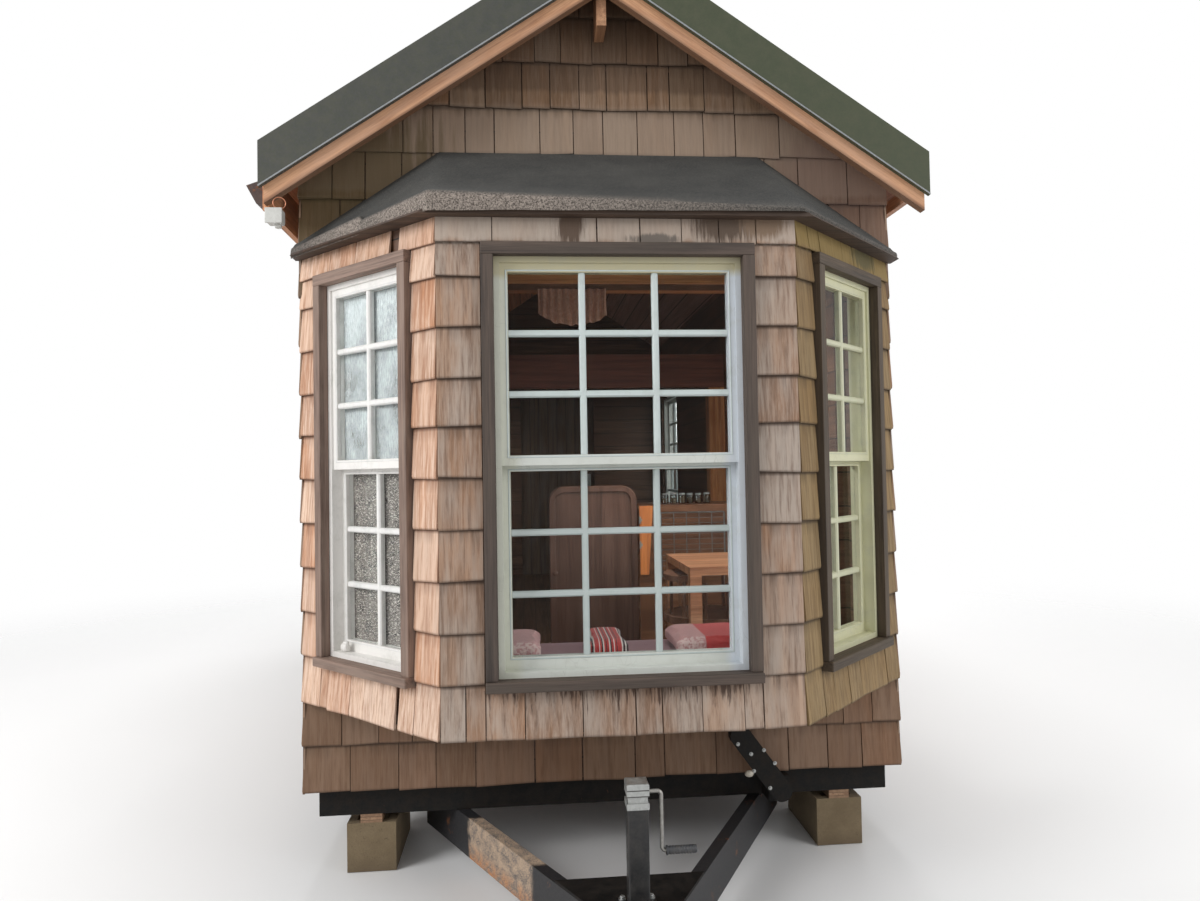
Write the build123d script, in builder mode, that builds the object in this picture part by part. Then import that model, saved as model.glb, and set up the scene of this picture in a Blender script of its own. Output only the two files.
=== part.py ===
"""Tiny house on a trailer: a shingled gable house with a three-sided bay over the tongue.

Frame: X across the house, -Y towards the tongue, +Z up, origin on the ground under the middle of the part.
All sizes are in millimetres. Wall sizes are to the sheathing, the face that the shingles are nailed to.
"""
from build123d import *
from math import cos, radians, sin, sqrt, tan
import os

os.makedirs("parts", exist_ok=True)

# Overall
house_width = 2372
house_length = 5480
wall_thickness = 110
tongue_reach = 1190
gable_overhang = 200

# Trailer frame
frame_bottom = 224
frame_depth = 152
rail_to_well = 97
channel_flange = 45
channel_wall = 6
crossmember_count = 6
overcut = 1

# Tongue, coupler and jack
tongue_apex_reach = 1037
tongue_angle = 29.8
tongue_tail = 300
apex_gap = 4
plate_thickness = 10
plate_front = 110
plate_back = 430
coupler_width = 76
coupler_height = 66
ball_diameter = 51
ball_clearance = 1
jack_back_from_apex = 217
jack_tube = 64
jack_tube_wall = 5
jack_rise = 320
jack_tube_clearance = 90
jack_flange = 116
jack_flange_thickness = 12
jack_cap_height = 76
cap_overhang = 2
leg_clearance = 0.3
foot_size = 130
foot_thickness = 8
crank_radius = 180
crank_rod = 12
crank_reach = 40
grip_length = 95
grip_diameter = 28
crank_drop = 33
bracket_width = 84
bracket_fold = 46
bracket_sheet = 6
bracket_foot_x = 668
bracket_rise = 60
bracket_top_x = 508
bracket_height = 281
bracket_gap = 58

# Wheels
tyre_diameter = 620
tyre_width = 185
rim_diameter = 345
wheel_spacing = 760
axle_behind_middle = 560
axle_tube = 76
arm_reach = 140
arm_thickness = 22
well_clearance = 50
well_sheet = 20
wheel_clearance = 12
rim_sheet = 8
rim_seat = 4
rim_width = 148
disc_thickness = 10
hub_radius = 46
hub_reach = 30
hub_hole_radius = 34
tread_slope = 30
bead_slope = 18

# Blocks under the corners
block_width = 190
block_length = 390
block_height = 190
block_inset = 200
block_core_wall = 32
shim_width = 84

# Floor and walls
floor_thickness = 120
wall_height = 2277
skirt_overlap = 36
skirt_lip = 36
roof_slope = 8 / 12
eave_overhang = 109.5
deck_depth = 100
roofing_depth = 10
seam_height = 22
seam_width = 14
seam_spacing = 405
ridge_gap = 16
ridge_cap_reach = 150
ridge_cap_thickness = 6

# Rakes and eaves
rake_depth = 173
rake_thickness = 20
barge_drop = 66
barge_thickness = 38
barge_short = 15
fascia_thickness = 25
left_fascia_depth = 150
right_fascia_depth = 52
gutter_width = 60
gutter_depth = 90
gutter_floor = 24
gutter_front_depth = 67.5
gutter_sheet = 3
gutter_drop = 34

# Bay
bay_front_width = 1208
bay_depth = 582
bay_floor_rise = 204
bay_floor_thickness = 110
bay_drop = 363
bay_opening_width = 1920
bay_opening_head = 90
bay_eave_reach = 52
bay_eave_edge = 25
bay_roof_rise = 436
bay_ridge_width = 1296
bay_roof_thickness = 60
bay_roof_side_reach = 28

# Windows
window_sill_rise = 73
window_head = 128
wide_window = 838
narrow_window = 483
jamb = 20
frame_inset_depth = 85
stile = 26
top_rail = 31
bottom_rail = 40
meeting_rail = 34
rail_overlap = 15
lower_glass_height = 622
sash_thickness = 34
upper_sash_setback = 8
sash_gap = 2
glass_thickness = 4
casing_width = 41
casing_depth = 38
sill_height = 35
sill_depth = 52
side_window_offset = 1995

# Rear door
door_width = 760
door_height = 1930
door_thickness = 44
door_casing_width = 90
handle_height = 950
handle_inset = 60
handle_plate = 55
handle_plate_height = 180
handle_plate_thickness = 6
knob_diameter = 52
knob_reach = 58
knob_length = 34
knob_neck = 22

# Inside
header_depth = 185
header_width = 60
beam_width = 38
beam_depth = 240
loft_beam_depth = 236
loft_beam_width = 110
loft_height = 1643
loft_behind_wall = 2420
post_size = 110
cushion_thickness = 78
cushion_margin = 12
soft_gap = 0.3
pillow_size = 330
pillow_thickness = 68
pillow_rounding = 40
pillow_from_window = 72
narrow_pillow = 156
narrow_pillow_rounding = 30
pillow_xs = (-425, -35, 360)
valance_width = 290
valance_drop = 158
valance_depth = 56
valance_x = -121
valance_inset = 46
panel_width = 430
panel_thickness = 28
panel_height = 994
panel_rounding = 75
panel_behind_wall = 700
table_height = 650
table_thickness = 34
table_depth = 614
table_left = 362
table_behind_wall = 131
table_leg = 50
cabinet_height = 868
cabinet_left = 302
cabinet_depth = 420
cabinet_behind_wall = 1290
cabinet_board = 20
cabinet_shelves = 2
chair_width = 420
chair_seat = 400
chair_seat_thickness = 34
chair_arm = 185
chair_rail = 26
chair_leg = 32
chair_rail_front = 126
chair_spindles = 9
spindle_start = -40
spindle_sweep = 260
chair_x = 520
chair_behind_wall = 385

# Worked out from the sizes above
half_width = house_width / 2
half_frame = half_width - skirt_lip
half_roof = half_width + eave_overhang
overall_length = tongue_reach + house_length + gable_overhang
y_tip = -overall_length / 2
y_front = y_tip + tongue_reach
y_rear = y_front + house_length
y_middle = (y_front + y_rear) / 2
y_bay = y_front - bay_depth
y_apex = y_front - tongue_apex_reach
y_jack = y_apex + jack_back_from_apex
frame_top = frame_bottom + frame_depth
frame_front = y_front + skirt_lip
frame_rear = y_rear - skirt_lip
skirt_bottom = frame_top - skirt_overlap
floor_top = frame_top + floor_thickness
wall_top = floor_top + wall_height
ridge_height = wall_top + deck_depth + roofing_depth + half_width * roof_slope
inner_half = half_width - wall_thickness
bay_bottom = floor_top + bay_floor_rise
bay_floor_top = bay_bottom + bay_floor_thickness
bay_wall_top = wall_top - bay_drop
window_bottom = bay_floor_top + window_sill_rise
window_top = bay_wall_top - window_head


def roof_z(x, below=0):
    """Height of the roof's top surface at a distance x from the middle, less a vertical drop."""
    return ridge_height - abs(x) * roof_slope - below


def export(node, name):
    """Label a finished piece and write its STEP file."""
    node.part.label = name
    export_step(node.part, f"parts/{name}.step")


def rectangle_on(plane, width, low, high, offset=0):
    """A rectangle on a wall plane whose second axis is height above the ground."""
    with BuildSketch(plane.offset(offset), mode=Mode.PRIVATE) as outline:
        with Locations((0, (low + high) / 2)):
            Rectangle(width, high - low)
    return outline.sketch


def ring_on(plane, outer, inner, offset=0):
    """A rectangular ring on a wall plane, each rectangle given as width, low and high."""
    return rectangle_on(plane, *outer, offset) - rectangle_on(plane, *inner, offset)


def wall_plane(x, y, angle):
    """Upright plane on a wall's outer face, its normal outwards at an angle from -Y towards +X."""
    turn = radians(angle)
    return Plane(origin=(x, y, 0), x_dir=(cos(turn), sin(turn), 0), z_dir=(sin(turn), -cos(turn), 0))


def plan(points, height):
    """A flat outline at a height."""
    with BuildSketch(Plane.XY.offset(height), mode=Mode.PRIVATE) as outline:
        Polygon(*points, align=None)
    return outline.sketch


def across(points, y):
    """An outline in X and Z, standing at a distance y, to be pushed towards +Y."""
    plane = Plane(origin=(0, y, 0), x_dir=(-1, 0, 0), z_dir=(0, 1, 0))
    with BuildSketch(plane, mode=Mode.PRIVATE) as outline:
        Polygon(*[(-x, z) for x, z in points], align=None)
    return outline.sketch


def box_between(low, high, mode=Mode.ADD):
    """A box given by two opposite corners."""
    size = [b - a for a, b in zip(low, high)]
    middle = [(a + b) / 2 for a, b in zip(low, high)]
    with Locations(tuple(middle)):
        Box(*size, mode=mode)


# Window places: plane of the wall, frame width
bay_side_angle = 45
bay_side_x = (half_width + bay_front_width / 2) / 2
bay_side_y = (y_front + y_bay) / 2
bay_front_plane = wall_plane(0, y_bay, 0)
bay_left_plane = wall_plane(-bay_side_x, bay_side_y, -bay_side_angle)
bay_right_plane = wall_plane(bay_side_x, bay_side_y, bay_side_angle)
side_window_ys = [y_middle - side_window_offset, y_middle + side_window_offset]
left_planes = [wall_plane(-half_width, y, -90) for y in side_window_ys]
right_planes = [wall_plane(half_width, y, 90) for y in side_window_ys]
windows = [
    (bay_front_plane, wide_window),
    (bay_left_plane, narrow_window),
    (bay_right_plane, narrow_window),
]
windows += [(plane, wide_window) for plane in left_planes + right_planes]


def cut_window(plane, width):
    """The hole that a window frame fills in its wall."""
    extrude(rectangle_on(plane, width, window_bottom, window_top), -wall_thickness, mode=Mode.SUBTRACT)


# Wheel wells: length, middle and top
y_axles = y_middle + axle_behind_middle
wheel_ys = [y_axles - wheel_spacing / 2, y_axles + wheel_spacing / 2]
well_half = (wheel_spacing + tyre_diameter) / 2 + well_clearance
well_top = tyre_diameter + well_clearance
tyre_outer = half_width - wheel_clearance
tyre_inner = tyre_outer - tyre_width
well_inner = tyre_inner - wheel_clearance


# Trailer: two long rails, a channel across each end and light channels between the rails
def channel(length):
    """Half-profile points of a channel that opens towards -X, web at x = 0."""
    return [
        (0, 0),
        (0, length),
        (-channel_flange, length),
        (-channel_flange, length - channel_wall),
        (-channel_wall, length - channel_wall),
        (-channel_wall, channel_wall),
        (-channel_flange, channel_wall),
        (-channel_flange, 0),
    ]


rail_half = well_inner - rail_to_well
with BuildPart() as main_rails:
    for side in (-1, 1):
        profile = [(side * (rail_half + x), frame_bottom + z) for x, z in channel(frame_depth)]
        rail_start = frame_front + channel_flange
        extrude(across(profile, rail_start), frame_rear - channel_flange - rail_start)
export(main_rails, "main_rails")

with BuildPart() as end_crossmembers:
    for face, inwards in ((frame_front, 1), (frame_rear, -1)):
        box_between(
            (-half_frame, min(face, face + inwards * channel_flange), frame_bottom),
            (half_frame, max(face, face + inwards * channel_flange), frame_top),
        )
        web = face + inwards * channel_wall
        back = face + inwards * channel_flange
        box_between(
            (-half_frame, min(web, back), frame_bottom + channel_wall),
            (half_frame, max(web, back), frame_top - channel_wall),
            Mode.SUBTRACT,
        )
export(end_crossmembers, "end_crossmembers")

with BuildPart() as floor_crossmembers:
    pitch = (frame_rear - frame_front) / (crossmember_count + 1)
    inner_rail = rail_half - channel_wall
    for index in range(crossmember_count):
        y = frame_front + pitch * (index + 1)
        box_between(
            (-inner_rail, y - channel_flange / 2, frame_top - frame_depth / 2),
            (inner_rail, y + channel_flange / 2, frame_top - channel_wall),
        )
export(floor_crossmembers, "floor_crossmembers")

# Tongue: two channels under the frame that run forward and meet behind the coupler
turn = radians(tongue_angle)
beam_run = (tongue_apex_reach + tongue_tail) / cos(turn)


def tongue_beam(side):
    """One channel, web outwards, cut upright along the middle of the tongue."""
    along = Vector(side * sin(turn), cos(turn), 0)
    inwards = Vector(-side * cos(turn), sin(turn), 0)
    start = Vector(0, y_apex, frame_bottom - frame_depth) - along * channel_flange * 2
    beam_plane = Plane(origin=tuple(start), x_dir=tuple(inwards), z_dir=tuple(along * side))
    with BuildPart(mode=Mode.PRIVATE) as beam:
        with BuildSketch(beam_plane) as profile:
            rise = beam_plane.y_dir.Z
            Polygon(*[(-x, z * rise) for x, z in channel(frame_depth)], align=None)
        extrude(amount=side * (beam_run + channel_flange * 2))
        other_side = sorted((side * apex_gap / 2, -side * half_width))
        box_between((other_side[0], y_tip, 0), (other_side[1], y_front, frame_top), Mode.SUBTRACT)
    return beam.part


with BuildPart() as tongue_beams:
    for side in (-1, 1):
        add(tongue_beam(side))
export(tongue_beams, "tongue_beams")


def tongue_half(y):
    """Half width of the tongue over the outer faces at a distance y."""
    return (y - y_apex) * tan(turn)


with BuildPart() as tongue_plate:
    near = y_apex + plate_front
    far = y_apex + plate_back
    outline = [
        (-tongue_half(near), near),
        (tongue_half(near), near),
        (tongue_half(far), far),
        (-tongue_half(far), far),
    ]
    extrude(plan(outline, frame_bottom), plate_thickness)
    with Locations((0, y_jack, frame_bottom + plate_thickness / 2)):
        Box(jack_tube, jack_tube, plate_thickness, mode=Mode.SUBTRACT)
export(tongue_plate, "tongue_plate")

# Coupler: folded plate over the apex with a round-nosed ball socket
with BuildPart() as coupler:
    neck = coupler_width / 2
    nose = y_tip + neck
    tail = y_apex + plate_front
    extrude(plan([(-neck, nose), (neck, nose), (neck, tail), (-neck, tail)], frame_bottom), coupler_height)
    with Locations((0, nose, frame_bottom + coupler_height / 2)):
        Cylinder(neck, coupler_height)
    slot_low = frame_bottom - channel_wall
    slot_high = frame_bottom + coupler_height - channel_wall
    with Locations((0, nose, (slot_low + slot_high) / 2)):
        Cylinder(ball_diameter / 2 + ball_clearance, slot_high - slot_low, mode=Mode.SUBTRACT)
    top_edges = coupler.edges().group_by(Axis.Z)[-1]
    chamfer(top_edges, channel_wall)
export(coupler, "coupler")

# Tongue jack: square outer tube in the plate, gearbox cap on top, inner leg on a foot
plate_top = frame_bottom + plate_thickness
jack_top = frame_bottom + jack_rise
tube_middle = (0, y_jack, (jack_tube_clearance + jack_top) / 2)
tube_length = jack_top - jack_tube_clearance
jack_bore = jack_tube - 2 * jack_tube_wall
with BuildPart() as jack_post:
    with Locations(tube_middle):
        Box(jack_tube, jack_tube, tube_length)
    fillet(jack_post.edges().filter_by(Axis.Z), jack_tube_wall)
    with Locations((0, y_jack, plate_top + jack_flange_thickness / 2)):
        Box(jack_flange, jack_flange, jack_flange_thickness)
    with Locations(tube_middle):
        Box(jack_bore, jack_bore, tube_length, mode=Mode.SUBTRACT)
export(jack_post, "jack_post")

cap_flange = jack_cap_height / 4
cap_width = jack_tube + 2 * cap_overhang
with BuildPart() as jack_cap:
    with Locations((0, y_jack, jack_top + cap_flange / 2)):
        Box(cap_width, cap_width, cap_flange)
    with Locations((0, y_jack, jack_top + jack_cap_height / 2)):
        Box(jack_tube - jack_tube_wall, jack_tube - jack_tube_wall, jack_cap_height)
    with Locations((0, y_jack, jack_top + jack_cap_height * 3 / 4)):
        Box(cap_width, cap_width, jack_cap_height / 2)
    fillet(jack_cap.edges().group_by(Axis.Z)[-1], jack_tube_wall)
export(jack_cap, "jack_cap")

with BuildPart() as jack_leg:
    leg_top = jack_top - jack_tube
    leg_size = jack_bore - 2 * leg_clearance
    with Locations((0, y_jack, (foot_thickness + leg_top) / 2)):
        Box(leg_size, leg_size, leg_top - foot_thickness)
    with Locations((0, y_jack, foot_thickness / 2)):
        Box(foot_size, foot_size, foot_thickness)
export(jack_leg, "jack_leg")

# Crank: shaft out of the cap, rod down, round grip; it turns about the shaft
shaft_z = jack_top + jack_cap_height - crank_drop
shaft_start = cap_width / 2 + soft_gap
arm_x = shaft_start + crank_reach
with BuildPart() as crank_arm:
    path_points = [
        (shaft_start, y_jack, shaft_z),
        (arm_x, y_jack, shaft_z),
        (arm_x, y_jack, shaft_z - crank_radius),
        (arm_x + grip_length + crank_rod, y_jack, shaft_z - crank_radius),
    ]
    with BuildLine() as rod_path:
        FilletPolyline(*path_points, radius=crank_rod)
    with BuildSketch(Plane(origin=path_points[0], z_dir=(1, 0, 0))):
        Circle(crank_rod / 2)
    sweep()
export(crank_arm, "crank_arm")

with BuildPart() as crank_grip:
    grip_start = arm_x + crank_rod
    grip_middle = (grip_start + grip_length / 2, y_jack, shaft_z - crank_radius)
    with Locations(Location(grip_middle, (0, 90, 0))):
        Cylinder(grip_diameter / 2, grip_length)
        chamfer(crank_grip.edges().filter_by(GeomType.CIRCLE), crank_rod / 3)
        Cylinder(crank_rod / 2 + soft_gap, grip_length, mode=Mode.SUBTRACT)
export(crank_grip, "crank_grip")

# Folded bracket bolted to the front channel right of the tongue, leaning inwards as it rises
bracket_low = (bracket_foot_x, frame_bottom + bracket_rise)
bracket_high = (bracket_top_x, frame_bottom + bracket_height)
bracket_back = y_front - bracket_gap
with BuildPart() as tongue_bracket:
    lean = Vector(bracket_high[0] - bracket_low[0], 0, bracket_high[1] - bracket_low[1])
    bracket_plane = Plane(
        origin=(bracket_low[0], bracket_back, bracket_low[1]),
        x_dir=tuple(lean.normalized()),
        z_dir=(0, -1, 0),
    )
    reach = lean.length
    with BuildSketch(bracket_plane, mode=Mode.PRIVATE) as bracket_outline:
        with Locations((reach / 2, 0)):
            SlotCenterToCenter(reach, bracket_width)
    extrude(bracket_outline.sketch, bracket_fold)
    with BuildSketch(bracket_plane.offset(-overcut), mode=Mode.PRIVATE) as bracket_hollow:
        with Locations((reach / 2, 0)):
            SlotCenterToCenter(reach, bracket_width - 2 * bracket_sheet)
    extrude(bracket_hollow.sketch, bracket_fold - bracket_sheet + overcut, mode=Mode.SUBTRACT)
    box_between(
        (bracket_low[0] - bracket_width / 2, bracket_back, frame_bottom + channel_wall),
        (bracket_low[0] + bracket_width / 2, frame_front, skirt_bottom - 2 * channel_wall),
    )
export(tongue_bracket, "tongue_bracket")

# Axles: square tubes under the rails, arms that rise to each spindle
spindle_z = tyre_diameter / 2
tube_middle_z = frame_bottom - axle_tube / 2
arm_inner = rail_half + channel_wall
with BuildPart() as axles:
    for wheel_y in wheel_ys:
        tube_y = wheel_y - arm_reach
        box_between(
            (-arm_inner, tube_y - axle_tube / 2, frame_bottom - axle_tube),
            (arm_inner, tube_y + axle_tube / 2, frame_bottom),
        )
        for side in (-1, 1):
            arm_plane = Plane(origin=(side * arm_inner, 0, 0), x_dir=(0, 1, 0), z_dir=(1, 0, 0))
            with BuildSketch(arm_plane, mode=Mode.PRIVATE) as arm_outline:
                SlotCenterPoint(
                    ((tube_y + wheel_y) / 2, (tube_middle_z + spindle_z) / 2),
                    (wheel_y, spindle_z),
                    axle_tube,
                )
            extrude(arm_outline.sketch, side * arm_thickness)
            spindle_end = tyre_inner + tyre_width / 2
            spindle_start = arm_inner + arm_thickness
            spindle_x = side * (spindle_start + spindle_end) / 2
            with Locations(Location((spindle_x, wheel_y, spindle_z), (0, 90, 0))):
                Cylinder(axle_tube / 2, spindle_end - spindle_start)
export(axles, "axles")

# Wheels: pressed rim with a bolted centre, and a tyre seated on it
rim_radius = rim_diameter / 2
rim_half = rim_width / 2
with BuildPart() as wheel_rims:
    for wheel_y in wheel_ys:
        for side in (-1, 1):
            centre = side * (tyre_inner + tyre_width / 2)
            wheel_plane = Plane(origin=(centre, wheel_y, spindle_z), x_dir=(0, 0, 1), z_dir=(side, 0, 0))
            with BuildSketch(wheel_plane.offset(-rim_half), mode=Mode.PRIVATE) as rim_ring:
                Circle(rim_radius)
                Circle(rim_radius - rim_sheet, mode=Mode.SUBTRACT)
            extrude(rim_ring.sketch, 2 * rim_half)
            with BuildSketch(wheel_plane, mode=Mode.PRIVATE) as rim_disc:
                Circle(rim_radius - rim_seat)
                Circle(hub_hole_radius, mode=Mode.SUBTRACT)
            extrude(rim_disc.sketch, disc_thickness)
            with BuildSketch(wheel_plane.offset(disc_thickness), mode=Mode.PRIVATE) as hub_cap:
                Circle(hub_radius)
            extrude(hub_cap.sketch, hub_reach)
export(wheel_rims, "wheel_rims")

with BuildPart() as tyres:
    for wheel_y in wheel_ys:
        for side in (-1, 1):
            centre = side * (tyre_inner + tyre_width / 2)
            tyre_plane = Plane(origin=(centre, wheel_y, spindle_z), x_dir=(1, 0, 0), z_dir=(0, -1, 0))
            with BuildSketch(tyre_plane, mode=Mode.PRIVATE) as tyre_profile:
                low = rim_radius
                high = tyre_diameter / 2
                with Locations((0, (low + high) / 2)):
                    Rectangle(tyre_width, high - low)
                chamfer(tyre_profile.vertices().group_by(Axis.Y)[-1], tread_slope, tread_slope / 2)
                chamfer(tyre_profile.vertices().group_by(Axis.Y)[0], bead_slope)
            wheel_axis = Axis((centre, wheel_y, spindle_z), (1, 0, 0))
            revolve(tyre_profile.sketch, axis=wheel_axis)
export(tyres, "tyres")

with BuildPart() as wheel_wells:
    for side in (-1, 1):
        inner = well_inner - well_sheet
        outer_low = sorted((side * inner, side * inner_half))
        hollow = sorted((side * well_inner, side * (inner_half + well_sheet)))
        box_between(
            (outer_low[0], y_axles - well_half - well_sheet, frame_top),
            (outer_low[1], y_axles + well_half + well_sheet, well_top + well_sheet),
        )
        box_between(
            (hollow[0], y_axles - well_half, frame_top - well_sheet),
            (hollow[1], y_axles + well_half, well_top),
            Mode.SUBTRACT,
        )
export(wheel_wells, "wheel_wells")

# Concrete blocks and wood shims under the frame's four corners
block_ys = [frame_front + block_length / 2, frame_rear - block_length / 2]
block_x = half_frame - block_inset
block_places = [(x, y) for x in (-block_x, block_x) for y in block_ys]
with BuildPart() as support_blocks:
    core_width = block_width - 2 * block_core_wall
    core_length = (block_length - 3 * block_core_wall) / 2
    for x, y in block_places:
        with Locations((x, y, block_height / 2)):
            Box(block_width, block_length, block_height)
        for step in (-1, 1):
            core_y = y + step * (core_length + block_core_wall) / 2
            with Locations((x, core_y, block_height / 2)):
                Box(core_width, core_length, block_height, mode=Mode.SUBTRACT)
export(support_blocks, "support_blocks")

with BuildPart() as block_shims:
    for x, y in block_places:
        with Locations((x, y, (block_height + frame_bottom) / 2)):
            Box(shim_width, block_length, frame_bottom - block_height)
export(block_shims, "block_shims")

# Floor between the walls, notched round the wheel wells
with BuildPart() as floor_deck:
    box_between(
        (-inner_half, y_front + wall_thickness, frame_top),
        (inner_half, y_rear - wall_thickness, floor_top),
    )
    for side in (-1, 1):
        notch = sorted((side * (well_inner - well_sheet), side * inner_half))
        box_between(
            (notch[0], y_axles - well_half - well_sheet, frame_top),
            (notch[1], y_axles + well_half + well_sheet, floor_top),
            Mode.SUBTRACT,
        )
export(floor_deck, "floor_deck")


# Side walls: framed panels under the roof slope, with a lip that hangs over the trailer frame
def side_wall(side, planes, name):
    under = deck_depth + roofing_depth
    section = [
        (half_frame, skirt_bottom),
        (half_width, skirt_bottom),
        (half_width, roof_z(half_width, under)),
        (inner_half, roof_z(inner_half, under)),
        (inner_half, frame_top),
        (half_frame, frame_top),
    ]
    with BuildPart() as wall:
        extrude(across([(side * x, z) for x, z in section], y_front), house_length)
        for plane in planes:
            cut_window(plane, wide_window)
        opening = sorted((side * (inner_half - overcut), side * (half_width + overcut)))
        box_between(
            (opening[0], y_axles - well_half, skirt_bottom - overcut),
            (opening[1], y_axles + well_half, well_top),
            Mode.SUBTRACT,
        )
    export(wall, name)


side_wall(-1, left_planes, "left_wall")
side_wall(1, right_planes, "right_wall")


# Gable walls between the side walls
def gable_outline():
    under = deck_depth + roofing_depth
    return [
        (-inner_half, frame_top),
        (inner_half, frame_top),
        (inner_half, roof_z(inner_half, under)),
        (0, roof_z(0, under)),
        (-inner_half, roof_z(inner_half, under)),
    ]


bay_opening_top = bay_wall_top - bay_opening_head
with BuildPart() as front_wall:
    extrude(across(gable_outline(), y_front), wall_thickness)
    box_between((-inner_half, y_front, skirt_bottom), (inner_half, frame_front, frame_top))
    box_between(
        (-bay_opening_width / 2, y_front, bay_floor_top),
        (bay_opening_width / 2, y_front + wall_thickness, bay_opening_top),
        Mode.SUBTRACT,
    )
export(front_wall, "front_wall")

with BuildPart() as rear_wall:
    extrude(across(gable_outline(), y_rear - wall_thickness), wall_thickness)
    box_between((-inner_half, frame_rear, skirt_bottom), (inner_half, y_rear, frame_top))
    box_between(
        (-door_width / 2, y_rear - wall_thickness, floor_top),
        (door_width / 2, y_rear, floor_top + door_height),
        Mode.SUBTRACT,
    )
export(rear_wall, "rear_wall")

# Bay: floor, three walls mitred at 45 degree corners, and a hipped roof shell
mitre = wall_thickness * tan(radians(bay_side_angle / 2))
corner_x = bay_front_width / 2
inner_corner_x = corner_x - mitre
inner_bay_y = y_bay + wall_thickness
inner_end_x = half_width - wall_thickness * sqrt(2)

with BuildPart() as bay_floor:
    outline = [
        (-inner_end_x, y_front),
        (-inner_corner_x, inner_bay_y),
        (inner_corner_x, inner_bay_y),
        (inner_end_x, y_front),
    ]
    extrude(plan(outline, bay_bottom), bay_floor_thickness)
export(bay_floor, "bay_floor")

with BuildPart() as bay_front_wall:
    outline = [
        (-corner_x, y_bay),
        (corner_x, y_bay),
        (inner_corner_x, inner_bay_y),
        (-inner_corner_x, inner_bay_y),
    ]
    extrude(plan(outline, bay_bottom), bay_wall_top - bay_bottom)
    cut_window(bay_front_plane, wide_window)
export(bay_front_wall, "bay_front_wall")


def bay_side_wall(side, plane, name):
    outline = [
        (side * half_width, y_front),
        (side * corner_x, y_bay),
        (side * inner_corner_x, inner_bay_y),
        (side * inner_end_x, y_front),
    ]
    with BuildPart() as wall:
        extrude(plan(outline[::side], bay_bottom), bay_wall_top - bay_bottom)
        cut_window(plane, narrow_window)
    export(wall, name)


bay_side_wall(-1, bay_left_plane, "bay_left_wall")
bay_side_wall(1, bay_right_plane, "bay_right_wall")

# The roof planes run from the eave line up to a level line on the gable wall
bay_eave_y = y_bay - bay_eave_reach
bay_eave_x = corner_x + bay_eave_reach * tan(radians(bay_side_angle / 2))
bay_eave_z = bay_wall_top + bay_eave_edge
bay_roof_top = bay_wall_top + bay_roof_rise
bay_half_ridge = bay_ridge_width / 2


def bay_roof_planes():
    """Outward planes of the bay roof: the front slope and the two side slopes."""
    front_low = Vector(0, bay_eave_y, bay_eave_z)
    front_rise = Vector(0, y_front - bay_eave_y, bay_roof_top - bay_eave_z)
    found = [(front_low, Vector(1, 0, 0).cross(front_rise))]
    for side in (-1, 1):
        corner = Vector(side * bay_eave_x, bay_eave_y, bay_eave_z)
        eave = Vector(side, 1, 0)
        hip = Vector(side * bay_half_ridge, y_front, bay_roof_top) - corner
        found.append((corner, eave.cross(hip) * side))
    return [(point, normal.normalized()) for point, normal in found]


def bay_roof_body(sunk):
    """The solid under the roof planes moved inwards by a distance."""
    reach_x = half_width + bay_roof_side_reach
    with BuildPart(mode=Mode.PRIVATE) as body:
        box_between((-reach_x, bay_eave_y, bay_wall_top), (reach_x, y_front, bay_roof_top))
        for point, normal in bay_roof_planes():
            cut_plane = Plane(origin=tuple(point - normal * sunk), z_dir=tuple(normal))
            split(bisect_by=cut_plane, keep=Keep.BOTTOM)
    return body.part


with BuildPart() as bay_roof:
    add(bay_roof_body(0))
    add(bay_roof_body(bay_roof_thickness), mode=Mode.SUBTRACT)
export(bay_roof, "bay_roof")

# Main roof: two framed slopes, standing seam sheets on them, and a folded ridge cap
rake_face_front = y_front - gable_overhang
rake_face_rear = y_rear + gable_overhang
deck_start = rake_face_front + rake_thickness + barge_thickness
deck_end = rake_face_rear - rake_thickness - barge_thickness
deck_edge = half_roof - fascia_thickness


def slope(side, inner, outer, top, bottom):
    """Section of a sloping layer between two distances from the middle."""
    points = [
        (inner, roof_z(inner, top)),
        (outer, roof_z(outer, top)),
        (outer, roof_z(outer, bottom)),
        (inner, roof_z(inner, bottom)),
    ]
    return [(side * x, z) for x, z in points]


def roof_deck(side, name):
    with BuildPart() as deck:
        section = slope(side, 0, deck_edge, roofing_depth, roofing_depth + deck_depth)
        extrude(across(section, deck_start), deck_end - deck_start)
    export(deck, name)


roof_deck(-1, "roof_deck_left")
roof_deck(1, "roof_deck_right")

# Fascia boards along the eaves; the left one is deeper and carries a gutter
deck_bottom = roof_z(deck_edge, roofing_depth + deck_depth)
with BuildPart() as eave_fascias:
    for side, depth in ((-1, left_fascia_depth), (1, right_fascia_depth)):
        section = [
            (deck_edge, roof_z(deck_edge, roofing_depth)),
            (half_roof, roof_z(half_roof, roofing_depth)),
            (half_roof, deck_bottom - depth),
            (deck_edge, deck_bottom - depth),
        ]
        extrude(across([(side * x, z) for x, z in section], deck_start), deck_end - deck_start)
export(eave_fascias, "eave_fascias")

gutter_top = deck_bottom - gutter_drop
with BuildPart() as gutter:
    trough = [
        (-half_roof, gutter_top),
        (-half_roof, gutter_top - gutter_depth),
        (-half_roof - gutter_floor, gutter_top - gutter_depth),
        (-half_roof - gutter_width, gutter_top - gutter_depth + gutter_front_depth),
    ]
    extrude(across(trough, deck_start), deck_end - deck_start)
    offset(amount=-gutter_sheet, openings=gutter.faces().sort_by(Axis.Z)[-1])
export(gutter, "gutter")

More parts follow.
